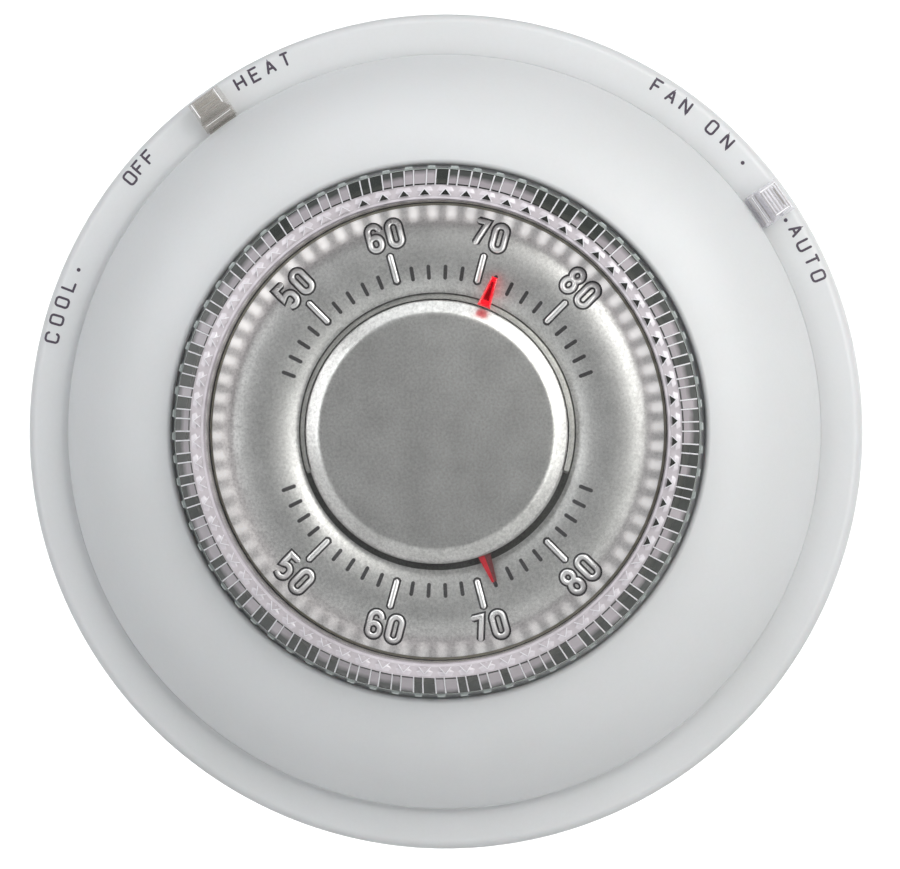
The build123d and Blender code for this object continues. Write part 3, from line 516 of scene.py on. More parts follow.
def arc(centre: Flat, radii: Flat, start: float, turn: float, steps: int) -> list[Flat]:
    """Points along part of an ellipse.

    Args:
        centre: The ellipse's centre.
        radii: Its half width and half height.
        start: The angle of the first point.
        turn: How far round the last point is.
        steps: How many stretches there are between them.

    Returns:
        The points, the first and the last included.
    """
    points = []
    for step in range(steps + 1):
        angle = math.radians(start + turn * step / steps)
        points.append((centre[0] + radii[0] * math.cos(angle), centre[1] + radii[1] * math.sin(angle)))
    return points


def turned(point: Flat, angle: float, reach: float = 0.0) -> Flat:
    """Turns a point that is drawn upright so that its up points outwards at an angle.

    Args:
        point: The point, with its first number across and its second number up.
        angle: The angle that up turns to.
        reach: How far out the drawing's own centre is.

    Returns:
        The point as seen from the front.
    """
    turn = math.radians(angle - 90.0)
    across, up = point[0], point[1] + reach
    return (
        across * math.cos(turn) - up * math.sin(turn),
        across * math.sin(turn) + up * math.cos(turn),
    )


class Shape:
    """A mesh under construction, in millimetres, as closed lumps that may have different finishes."""

    def __init__(self, name: str, finishes: Sequence[object]) -> None:
        """Starts an empty shape.

        Args:
            name: The piece's name.
            finishes: Its finishes, which faces name by their place in this list.
        """
        self.name = name
        self.finishes = list(finishes)
        self.points: list[Solid] = []
        self.faces: list[tuple[int, ...]] = []
        self.dress: list[int] = []

    def lump(self, points: Sequence[Solid], faces: Sequence[Sequence[int]], finish: int = 0) -> None:
        """Adds points as (right, up, depth), and the faces between them.

        Args:
            points: The points.
            faces: Each face's points, by their place in that list.
            finish: The finish of these faces.
        """
        first = len(self.points)
        self.points += points
        self.faces += [tuple(first + corner for corner in face) for face in faces]
        self.dress += [finish] * len(faces)

    def lathe(
        self,
        profile: Sequence[Flat],
        steps: int = 288,
        start: float = 0.0,
        turn: float = 360.0,
        finish: int | Callable[[int], int] = 0,
    ) -> None:
        """Turns a closed profile of (radius, depth) round the dial's axis.

        Args:
            profile: The profile's points.
            steps: How many stretches there are round the axis.
            start: The angle where it starts.
            turn: How far round it goes.
            finish: The finish, or a function that gives it for each stretch of the profile.
        """
        whole = turn >= 360.0
        rings = steps if whole else steps + 1
        size = len(profile)
        points = []
        for ring in range(rings):
            angle = math.radians(start + turn * ring / steps)
            for radius, depth in profile:
                points.append((radius * math.cos(angle), radius * math.sin(angle), depth))
        for side in range(size):
            quads = []
            for ring in range(steps):
                here, there = ring * size, (ring + 1) % rings * size
                after = (side + 1) % size
                quads.append((here + side, there + side, there + after, here + after))
            chosen = finish(side) if callable(finish) else finish
            first = len(self.points)
            self.faces += [tuple(first + corner for corner in quad) for quad in quads]
            self.dress += [chosen] * len(quads)
        first = len(self.points)
        self.points += points
        if not whole:
            chosen = finish(0) if callable(finish) else finish
            self.faces.append(tuple(first + corner for corner in range(size)))
            self.faces.append(tuple(first + steps * size + corner for corner in reversed(range(size))))
            self.dress += [chosen] * 2

    def prism(self, outline: Sequence[Flat], back: Surface, front: Surface, finish: int = 0) -> None:
        """A flat piece with a given outline, whose back and front follow two surfaces.

        Args:
            outline: The outline, as seen from the front.
            back: The depth of the back at each radius.
            front: The depth of the front at each radius.
            finish: The finish of its faces.
        """
        size = len(outline)
        low = [(*point, back(math.hypot(*point))) for point in outline]
        high = [(*point, front(math.hypot(*point))) for point in outline]
        sides = [(side, (side + 1) % size, size + (side + 1) % size, size + side) for side in range(size)]
        self.lump(low + high, [*sides, tuple(range(size)), tuple(range(size, 2 * size))], finish)

    def loft(self, outlines: Sequence[Sequence[Solid]], finish: int = 0) -> None:
        """A closed skin over outlines of (right, up, depth) with the same number of points.

        Args:
            outlines: The outlines, from one end to the other.
            finish: The finish of its faces.
        """
        size = len(outlines[0])
        faces: list[tuple[int, ...]] = []
        for level in range(len(outlines) - 1):
            low, high = level * size, (level + 1) * size
            for side in range(size):
                after = (side + 1) % size
                faces.append((low + side, low + after, high + after, high + side))
        faces.append(tuple(range(size)))
        faces.append(tuple((len(outlines) - 1) * size + side for side in range(size)))
        self.lump([point for outline in outlines for point in outline], faces, finish)

    def stroke(
        self,
        path: Sequence[Flat],
        width: float,
        closed: bool,
        face: Surface,
        height: float,
        crown: float = 0.0,
        finish: int = 0,
    ) -> None:
        """A bead of even width along a path that lies on a surface, with round ends.

        Args:
            path: The middle of the bead, as seen from the front.
            width: Its width.
            closed: Whether its ends meet.
            face: The depth of the surface at each radius.
            height: How far the bead's edges stand out of the surface.
            crown: How much further its middle stands out.
            finish: Its finish.
        """
        rows = self._rows(path, width / 2, closed)
        levels = (-0.05, height, height + crown * 0.75, height + crown, height + crown * 0.75, height, -0.05)
        places = (1.0, 1.0, 0.55, 0.0, -0.55, -1.0, -1.0)
        points = []
        for middle, side in rows:
            for place, level in zip(places, levels):
                spot = (middle[0] + side[0] * place, middle[1] + side[1] * place)
                points.append((*spot, face(math.hypot(*spot)) + level))
        size, count = len(places), len(rows)
        faces: list[tuple[int, ...]] = []
        for row in range(count if closed else count - 1):
            here, there = row * size, (row + 1) % count * size
            for side in range(size):
                after = (side + 1) % size
                faces.append((here + side, there + side, there + after, here + after))
        if not closed:
            faces.append(tuple(range(size)))
            faces.append(tuple((count - 1) * size + side for side in range(size)))
        self.lump(points, faces, finish)

    @staticmethod
    def _rows(path: Sequence[Flat], half: float, closed: bool) -> list[tuple[Flat, Flat]]:
        """The middle and the half width to one side at each place along a bead.

        Args:
            path: The middle of the bead.
            half: Half its width.
            closed: Whether its ends meet.

        Returns:
            The rows, with those of the two round ends.
        """
        points = [Vector(point) for point in Shape._fine(path, closed)]
        count = len(points)
        rows = []
        for place, point in enumerate(points):
            before = points[place - 1] if closed or place else None
            after = points[(place + 1) % count] if closed or place < count - 1 else None
            arrive = (point - before).normalized() if before is not None else (after - point).normalized()
            leave = (after - point).normalized() if after is not None else arrive
            along = (arrive + leave).normalized()
            lean = min(1.0 / max(along.dot(leave), 0.5), 1.6)
            rows.append((point, Vector((-along.y, along.x)) * half * lean))
        if not closed:
            rows = Shape._cap(rows, half, -1)[::-1] + rows[1:-1] + Shape._cap(rows, half, 1)
        return [((middle.x, middle.y), (side.x, side.y)) for middle, side in rows]

    @staticmethod
    def _fine(path: Sequence[Flat], closed: bool, stretch: float = 0.3) -> list[Flat]:
        """Adds points to a path, so that a bead on it can follow a curved surface.

        Args:
            path: The path.
            closed: Whether its ends meet.
            stretch: The longest stretch that stays whole.

        Returns:
            The finer path.
        """
        ends = [*path[1:], path[0]] if closed else path[1:]
        fine = []
        for here, there in zip(path, ends):
            parts = max(1, math.ceil(math.dist(here, there) / stretch))
            for part in range(parts):
                share = part / parts
                fine.append((here[0] + (there[0] - here[0]) * share, here[1] + (there[1] - here[1]) * share))
        return fine if closed else [*fine, path[-1]]

    @staticmethod
    def _cap(rows: list[tuple[Vector, Vector]], half: float, way: int) -> list[tuple[Vector, Vector]]:
        """The rows of one round end, from the bead outwards.

        Args:
            rows: The bead's own rows.
            half: Half its width.
            way: 1 for the last end, and -1 for the first.

        Returns:
            The end's rows.
        """
        middle, side = rows[-1] if way > 0 else rows[0]
        along = Vector((side.y, -side.x)).normalized() * way
        cap = []
        for step in range(5):
            turn = math.radians(step * 88.0 / 4)
            cap.append((middle + along * half * (math.sin(turn) - 1.0), side * math.cos(turn)))
        return cap

    def build(self, body: Body, slot: Slot, sharp: float = 32.0) -> bpy.types.Object:
        """Makes the Blender object, dresses it and lets it ride.

        Args:
            body: The body it rides on.
            slot: The record's material slot; not used.
            sharp: The angle past which an edge stays sharp.

        Returns:
            The object.
        """
        mesh = bpy.data.meshes.new(self.name)
        mesh.from_pydata([(x * MM, -depth * MM, z * MM) for x, z, depth in self.points], [], self.faces)
        mesh.polygons.foreach_set("material_index", self.dress)
        work = bmesh.new()
        work.from_mesh(mesh)
        bmesh.ops.remove_doubles(work, verts=work.verts, dist=1e-8)
        bmesh.ops.recalc_face_normals(work, faces=work.faces)
        work.to_mesh(mesh)
        work.free()
        mesh.shade_smooth()
        mesh.set_sharp_from_angle(angle=math.radians(sharp))
        for finish in self.finishes:
            mesh.materials.append(finish_of(finish))
        piece = bpy.data.objects.new(self.name, mesh)
        bpy.context.scene.collection.objects.link(piece)
        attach(piece, body.value)
        LOG.info("%s: %d faces on %s", self.name, len(mesh.polygons), body.value)
        return piece


def finish_of(finish: object) -> bpy.types.Material:
    """The material of a finish, made the first time that it is asked for."""
    found = bpy.data.materials.get(finish.name)
    return found if found else finish.make()


def reach(node: str) -> float:
    """The furthest that a node goes from the axis, right or up, in millimetres."""
    low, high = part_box(node)
    return max(-low.x, high.x, -low.z, high.z) / MM


def front(node: str) -> float:
    """The depth of a node's front, in millimetres."""
    return -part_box(node)[0].y / MM


def back(node: str) -> float:
    """The depth of a node's back, in millimetres."""
    return -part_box(node)[1].y / MM


def heading(node: str) -> float:
    """The angle that a node's far end points at, in degrees."""
    spots = [(point.co.x, point.co.z) for point in frame["nodes"][node].data.vertices]
    furthest = max(math.hypot(*spot) for spot in spots)
    ends = [spot for spot in spots if math.hypot(*spot) > furthest - 0.1 * MM]
    angles = [math.atan2(z, x) for x, z in ends]
    return math.degrees(math.atan2(sum(map(math.sin, angles)), sum(map(math.cos, angles))))


def travel(joint: str) -> tuple[float, float]:
    """The lowest and the highest angle of a turning joint, in degrees."""
    return tuple(next(row["range_deg"] for row in frame["joints"] if row["name"] == joint))


# ---------------------------------------------------------------- bezel and its labels


@dataclass(frozen=True)
class Word:
    """A label of plain strokes round the bezel, read clockwise with its tops outwards."""

    letters: str
    start: float
    end: float


@dataclass
class Bezel:
    """The white trim ring, with its switch labels."""

    lip_outer: float = 50.8
    lip_inner: float = 49.8
    lip_thickness: float = 1.6
    edge_width: float = 1.5
    edge_height: float = 2.0
    crown_rise: float = 0.3
    draft: float = 0.3
    inside: float = 55.1
    letter_height: float = 2.1
    letter_width: float = 1.5
    letter_circle: float = 54.75
    stroke_width: float = 0.33
    ink_height: float = 0.015

    words = (
        Word("COOL", 167.3, 157.9),
        Word("OFF", 141.8, 136.2),
        Word("HEAT", 121.0, 112.2),
        Word("FAN", 58.9, 52.4),
        Word("ON", 49.2, 44.7),
        Word("AUTO", 30.4, 21.7),
    )
    dots = (156.1, 41.8, 31.6)

    def __post_init__(self) -> None:
        """Reads the sizes that the frame gives."""
        self.radius = reach("bezel")
        self.face = front("bezel")
        self.wall_gap = back("bezel")
        self.side = self.radius - self.draft
        self.edge_start = self.side - self.edge_width
        self.edge_base = self.face - self.crown_rise - self.edge_height

    def depth(self, radius: float) -> float:
        """The depth of the bezel's face at a radius."""
        if radius <= self.edge_start:
            span = self.edge_start - self.lip_outer
            return self.face - self.crown_rise * (radius - self.lip_outer) / span
        across = min((radius - self.edge_start) / self.edge_width, 1.0)
        return self.edge_base + self.edge_height * math.sqrt(1.0 - across * across)

    def build(self) -> None:
        """Builds the ring with its latches, and the labels on it."""
        ring = Shape("bezel_ring", [WHITE])
        edge = arc((self.edge_start, self.edge_base), (self.edge_width, self.edge_height), 0, 90, 14)
        lip = arc((self.lip_inner + 0.35, self.face - 0.35), (0.35, 0.35), 90, 90, 6)
        under = self.face - self.lip_thickness
        profile = [
            (self.radius, self.wall_gap),
            *edge,
            (self.lip_outer, self.face),
            *lip,
            (self.lip_inner, under),
            (53.2, under - 0.2),
            (self.inside, self.face - 4.0),
            (self.inside, self.wall_gap),
        ]
        ring.lathe(profile, 360)
        for latch in range(6):
            block = [(53.4, 2.4), (self.inside + 0.4, 2.4), (self.inside + 0.4, 4.0), (53.4, 4.0)]
            ring.lathe(block, 8, 60.0 * latch - 4.0, 8.0)
        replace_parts(ring.build(Body.BASE, Slot.WHITE), "bezel")
        self._labels()

    def _labels(self) -> None:
        """Builds one piece for each word, and one for the dots."""
        for word in self.words:
            self._word(word)
        dots = Shape("position_dots", [MARK_INK])
        for angle in self.dots:
            spot = arc(turned((0.0, 0.0), angle, self.letter_circle - 0.5), (0.27, 0.27), 0, 345, 23)
            dots.prism(spot, lambda r: self.depth(r) - 0.05, lambda r: self.depth(r) + self.ink_height)
        dots.build(Body.BASE, Slot.WHITE)

    def _word(self, word: Word) -> None:
        """Builds the strokes of one word.

        Args:
            word: The word and where it goes.
        """
        shape = Shape(f"label_{word.letters.lower()}", [MARK_INK])
        half = math.degrees(self.letter_width / 2 / self.letter_circle)
        pitch = (word.start - word.end - 2 * half) / (len(word.letters) - 1)
        for place, letter in enumerate(word.letters):
            angle = word.start - half - pitch * place
            for number, (path, closed) in enumerate(self._letter(letter)):
                seen = [turned(point, angle, self.letter_circle) for point in path]
                lift = self.ink_height + 0.002 * number
                shape.stroke(seen, self.stroke_width, closed, self.depth, lift)
        shape.build(Body.BASE, Slot.WHITE)

    def _letter(self, letter: str) -> list[tuple[list[Flat], bool]]:
        """The strokes of one capital letter about its own centre.

        Args:
            letter: The letter.

        Returns:
            The strokes, and whether each is a closed loop.
        """
        w = (self.letter_width - self.stroke_width) / 2
        h = (self.letter_height - self.stroke_width) / 2
        r = 0.38
        top_right = arc((w - r, h - r), (r, r), 0, 90, 6)
        top_left = arc((-w + r, h - r), (r, r), 90, 90, 6)
        low_left = arc((-w + r, -h + r), (r, r), 180, 90, 6)
        low_right = arc((w - r, -h + r), (r, r), 270, 90, 6)
        strokes = {
            "O": [([*top_right, *top_left, *low_left, *low_right], True)],
            "C": [
                ([(w, h - r - 0.1), *top_right, *top_left, *low_left, *low_right, (w, -h + r + 0.1)], False)
            ],
            "U": [([(-w, h), *low_left, *low_right, (w, h)], False)],
            "L": [([(-w, h), (-w, -h), (w, -h)], False)],
            "F": [([(w, h), (-w, h), (-w, -h)], False), ([(-w, 0.05), (w * 0.6, 0.05)], False)],
            "H": [([(-w, h), (-w, -h)], False), ([(w, h), (w, -h)], False), ([(-w, 0.0), (w, 0.0)], False)],
            "E": [([(w, h), (-w, h), (-w, -h), (w, -h)], False), ([(-w, 0.02), (w * 0.7, 0.02)], False)],
            "A": [
                ([(-w, -h), (0.0, h), (w, -h)], False),
                ([(-w * 0.6, -h * 0.3), (w * 0.6, -h * 0.3)], False),
            ],
            "T": [([(-w, h), (w, h)], False), ([(0.0, h), (0.0, -h)], False)],
            "N": [([(-w, -h), (-w, h), (w, -h), (w, h)], False)],
        }
        return strokes[letter]


# ---------------------------------------------------------------- cover


@dataclass
class Cover:
    """The domed cover, with its inner skirt and its three legs."""

    edge_depth: float = 18.2
    hole_radius: float = 35.0
    hole_depth: float = 30.5
    dome_turn: float = 50.0
    wall: float = 1.6
    lip: float = 0.6
    skirt: Flat = (48.7, 49.5)
    skirt_back: float = 14.5
    legs: tuple[float, ...] = (90.0, 210.0, 330.0)
    lever_gap: float = 4.0

    def build(self) -> None:
        """Builds the dome, the skirt and the legs as one piece."""
        shape = Shape("cover_shell", [WHITE])
        shape.lathe(self._dome(), 360)
        skirt = [
            (self.skirt[0], self.skirt_back),
            (self.skirt[1], self.skirt_back),
            (self.skirt[1], self.edge_depth + 0.6),
            (self.skirt[0], self.edge_depth + 1.0),
        ]
        gaps = sorted(self._gaps())
        for (_, start), (stop, _) in zip(gaps, gaps[1:] + [(gaps[0][0] + 360.0, 0.0)]):
            shape.lathe(skirt, 100, start, stop - start)
        leg_back = back("cover")
        for angle in self.legs:
            leg = [(45.0, leg_back), (46.2, leg_back + 0.5), (46.2, 23.4), (45.0, 23.4)]
            shape.lathe(leg, 10, angle - 4.0, 8.0)
        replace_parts(shape.build(Body.COVER, Slot.WHITE), "cover")

    def _gaps(self) -> list[Flat]:
        """The stretches of the skirt that are open for the levers."""
        spans = []
        for node, joint in (("system_lever", "system_lever_slide"), ("fan_lever", "fan_lever_slide")):
            rest = heading(node)
            start, end = travel(joint)
            spans.append((rest + start - self.lever_gap, rest + end + self.lever_gap))
        return spans

    def _dome(self) -> list[Flat]:
        """The closed profile of the dome's wall."""
        edge = reach("cover")
        rise, span = self.hole_depth - self.edge_depth, edge - self.hole_radius
        chord = math.hypot(rise, span)
        half = math.radians(self.dome_turn / 2)
        radius = chord / 2 / math.sin(half)
        offset = radius * math.cos(half)
        centre = (
            (edge + self.hole_radius) / 2 - rise / chord * offset,
            (self.edge_depth + self.hole_depth) / 2 - span / chord * offset,
        )
        start = math.degrees(math.atan2(self.edge_depth - centre[1], edge - centre[0]))
        end = math.degrees(math.atan2(self.hole_depth - centre[1], self.hole_radius - centre[0]))
        lip_turn = math.degrees(self.lip / radius)
        outer = arc(centre, (radius, radius), start + 0.6, end - start - 0.6 - lip_turn, 48)
        tip = outer[-1]
        lip = arc((self.hole_radius + self.lip, tip[1] - self.lip), (self.lip, self.lip), 80, 100, 8)
        inner_radius = radius - self.wall
        inner = arc(centre, (inner_radius, inner_radius), end + 1.5, start - end - 1.5, 30)
        hem = (edge - 0.25, self.edge_depth + 0.02)
        return [(edge, self.edge_depth + 0.3), *outer, *lip, (self.hole_radius, inner[0][1]), *inner, hem]


# ---------------------------------------------------------------- setting dial


@dataclass
class SettingDial:
    """The clear ring with its ribs and facets, built opaque with refraction and shade painted into its
    finishes, the window inside it and the red pointer.
    """

    ribs: int = 72
    rim: float = 34.7
    band_outer: float = 34.15
    band_inner: float = 31.9
    facet_inner: float = 30.05
    bore: float = 30.0
    shoulder: float = 33.0
    tooth_share: float = 0.42
    line_width: float = 0.22
    pointer: Flat = (17.3, 21.4)
    pointer_width: Flat = (1.75, 0.8)
    core_share: Flat = (0.42, 0.3)
    core_inset: Flat = (0.9, 0.7)
    bright_side: float = 40.0
    recess: float = 0.35
    facet_share: float = 0.47
    cell_lifts: Flat = (0.16, 0.05)
    dark_line: float = 0.2
    tooth_height: float = 0.33
    tooth_break: float = 0.15
    tooth_lean: float = 0.3
    seed: int = 11

    def __post_init__(self) -> None:
        """Reads the sizes that the frame gives."""
        self.front = front("clear_ring")
        self.back = back("clear_ring")
        self.pane_front = front("dial_window")

    def build(self) -> None:
        """Builds the ring, the window and the pointer."""
        self._ring()
        self._window()
        self._pointer()

    def slope(self, radius: float) -> float:
        """The depth of the ring's ribbed outer slope at a radius."""
        share = (self.band_outer - radius) / (self.band_outer - self.band_inner)
        return self.shoulder + (self.front - self.recess - self.shoulder) * min(max(share, 0.0), 1.0)

    def _ring(self) -> None:
        """Builds the ring's body, its ribs, the cells between them and the facets inside them, all opaque,
        with refraction and shade painted into their finishes.
        """
        cells = [CELL_BLACK, CELL_MIXED, CELL_PALE]
        finishes = [RING_RIM, RING_RIB, *cells, RING_BED, RING_FACET, RING_DARK, RING_LINE]
        shape = Shape("knurled_ring", finishes)
        top = self.front - self.recess
        wall = self.rim - self.tooth_height
        body = [
            (wall, self.back),
            (wall, self.shoulder - 0.5),
            (wall - 0.06, self.shoulder - 0.42),
            (wall - 0.14, self.shoulder - 0.35),
            (self.band_outer, self.shoulder - 0.3),
            (self.band_outer, self.shoulder),
            (self.band_inner, top),
            (self.bore + 0.45, top),
            (self.bore + 0.2, top - 0.2),
            (self.bore + 0.1, self.pane_front + 0.02),
            (self.bore + 0.42, self.pane_front + 0.01),
            (self.bore + 0.42, self.pane_front - 1.21),
            (self.bore, self.pane_front - 1.22),
            (self.bore, self.back),
        ]
        # Painted refraction and shade: dark and teal bands on the outer rim, and a pale bore lit up against
        # its own shade.
        dress = (0, 0, 8, 0, 7, 7, 5, 5, 6, 6, 5, 5, 5, 5)
        shape.lathe(body, 360, finish=lambda side: dress[side])
        chance = random.Random(self.seed)
        period = 360.0 / self.ribs
        for rib in range(self.ribs):
            start = rib * period
            split = start + period * self.tooth_share
            self._cell(shape, start, split, self.cell_lifts[0], chance)
            self._cell(shape, split, start + period, self.cell_lifts[1], chance)
            self._rib(shape, start)
            self._rib(shape, split)
            self._facet(shape, start + period / 2)
            self._tooth(shape, start, split)
        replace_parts(shape.build(Body.DIAL, Slot.CLEAR, 25.0), "clear_ring")

    def _at(self, radius: float, angle: float, depth: float) -> Solid:
        """A point at a radius, an angle and a depth."""
        turn = math.radians(angle)
        return (radius * math.cos(turn), radius * math.sin(turn), depth)

    def _tooth(self, shape: Shape, start: float, end: float) -> None:
        """One grip tooth on the ring's side wall, with its front edge broken.

        Args:
            shape: The shape it is added to.
            start: The angle of one side.
            end: The angle of the other.
        """
        root, lean, front_depth = self.rim - self.tooth_height - 0.03, self.tooth_lean, self.shoulder - 0.42
        levels = (
            (self.rim, self.back),
            (self.rim, front_depth - self.tooth_break),
            (self.rim - self.tooth_break, front_depth),
        )
        outlines = []
        for crown, depth in levels:
            corners = ((root, start), (crown, start + lean), (crown, end - lean), (root, end))
            outlines.append([self._at(radius, angle, depth) for radius, angle in corners])
        shape.loft(outlines, 8)

    def _cell(self, shape: Shape, start: float, end: float, lift: float, chance: random.Random) -> None:
        """The dark or pale pane of painted refraction between two ribs, with a dark line of painted shade at
        its inner end.

        Args:
            shape: The shape it is added to.
            start: The angle of one rib.
            end: The angle of the next.
            lift: How far it stands off the slope.
            chance: Where its finish is drawn from.
        """
        margin = math.degrees(self.line_width / 2 / self.band_inner)
        kind = chance.choices((2, 3, 4), (0.3, 0.45, 0.25))[0]
        low, high = start + margin, end - margin
        line_start = self.band_inner + self.dark_line
        spans = ((self.band_outer - 0.1, line_start, kind), (line_start, self.band_inner, 7))
        for outer, inner, finish in spans:
            outlines = []
            for level in (-0.1, lift):
                corners = ((outer, low), (outer, high), (inner, high), (inner, low))
                outlines.append([self._at(r, a, self.slope(r) + level) for r, a in corners])
            shape.loft(outlines, finish)

    def _rib(self, shape: Shape, angle: float) -> None:
        """One bright rib that runs up the slope.

        Args:
            shape: The shape it is added to.
            angle: The rib's angle.
        """
        outlines = []
        for radius in (self.band_outer - 0.02, self.band_inner - 0.1):
            half = math.degrees(self.line_width / 2 / radius)
            depth = self.slope(radius)
            outlines.append(
                [
                    self._at(radius, angle - half, depth - 0.1),
                    self._at(radius, angle - half * 0.8, depth + 0.2),
                    self._at(radius, angle, depth + 0.27),
                    self._at(radius, angle + half * 0.8, depth + 0.2),
                    self._at(radius, angle + half, depth - 0.1),
                ]
            )
        shape.loft(outlines, 1)

    def _facet(self, shape: Shape, angle: float) -> None:
        """One cut facet: a low pyramid that points inwards, with a pit on its inner side that is painted dark
        as shade on the key light's side and pale elsewhere.

        Args:
            shape: The shape it is added to.
            angle: The angle of its middle.
        """
        top = self.front - self.recess
        wide = 360.0 / self.ribs * self.facet_share
        base = [
            self._at(self.band_inner - 0.12, angle - wide * 0.72, top - 0.05),
            self._at(self.band_inner - 0.12, angle + wide * 0.72, top - 0.05),
            self._at(self.band_inner - 0.75, angle + wide, top - 0.05),
            self._at(self.facet_inner + 0.35, angle, top - 0.05),
            self._at(self.band_inner - 0.75, angle - wide, top - 0.05),
        ]
        peak = self._at(self.band_inner - 0.8, angle, self.front - 0.06)
        shape.lump([*base, peak], [(0, 1, 5), (1, 2, 5), (2, 3, 5), (3, 4, 5), (4, 0, 5), (4, 3, 2, 1, 0)], 6)
        inner, outer = self.facet_inner + 0.55, self.band_inner - 0.62
        pit = [
            self._at(inner, angle - wide * 0.5, self.front - 0.12),
            self._at(outer, angle, self.front - 0.12),
            self._at(inner, angle + wide * 0.5, self.front - 0.12),
        ]
        # Painted shade: the facets on the key light's side get a dark pit, the others a pale one.
        bright = math.cos(math.radians(angle - self.bright_side)) > 0.35
        shape.loft([pit, [(x, z, self.front - 0.03) for x, z, _ in pit]], 7 if bright else 5)
        # Painted highlights along the facet's two edges.
        for side in (-1, 1):
            foot = self._at(inner - 0.12, angle + side * wide * 0.62, 0.0)
            tip = self._at(outer + 0.12, angle, 0.0)
            shape.stroke([foot[:2], tip[:2]], 0.1, False, lambda r: self.front - 0.08, 0.07, 0.0, 1)

    def _window(self) -> None:
        """Builds the thin clear pane."""
        shape = Shape("window_pane", [WINDOW])
        radius, pane_back = reach("dial_window"), back("dial_window")
        edge = 0.08
        profile = [
            (0.0, pane_back),
            (radius - edge, pane_back),
            (radius, pane_back + edge),
            (radius, self.pane_front - edge),
            (radius - edge, self.pane_front),
            (0.0, self.pane_front),
        ]
        shape.lathe(profile, 180)
        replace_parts(shape.build(Body.DIAL, Slot.CLEAR), "dial_window")

    def _pointer(self) -> None:
        """Builds the red wedge that hangs behind the window."""
        shape = Shape("red_set_pointer", [RED_LIT_EDGE, RED_SHADED_CORE])
        angle = heading("set_pointer")
        rear, face = back("set_pointer"), front("set_pointer")
        tip_in, tip_out = self.pointer
        root, tip = self.pointer_width[0] / 2, self.pointer_width[1] / 2
        levels = ((rear, 0.72), (rear + 0.25, 1.0), (face - 0.35, 1.0), (face, 0.7))
        outlines = []
        for depth, share in levels:
            inset = (1.0 - share) * 0.8
            corners = (
                (-root * share, tip_in + inset),
                (root * share, tip_in + inset),
                (tip * share, tip_out - inset),
                (-tip * share, tip_out - inset),
            )
            outlines.append([(*turned(corner, angle), depth) for corner in corners])
        shape.loft(outlines, 0)
        # Painted shade: a darker core laid over the middle of the wedge's front.
        wide, narrow = root * self.core_share[0], tip * self.core_share[1]
        start, end = tip_in + self.core_inset[0], tip_out - self.core_inset[1]
        core = ((-wide, start), (wide, start), (narrow, end), (-narrow, end))
        cores = [[(*turned(corner, angle), depth) for corner in core] for depth in (face - 0.2, face)]
        shape.loft(cores, 1)
        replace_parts(shape.build(Body.DIAL, Slot.RED_CLEAR, 20.0), "set_pointer")


# ---------------------------------------------------------------- dial plate, cap and needle


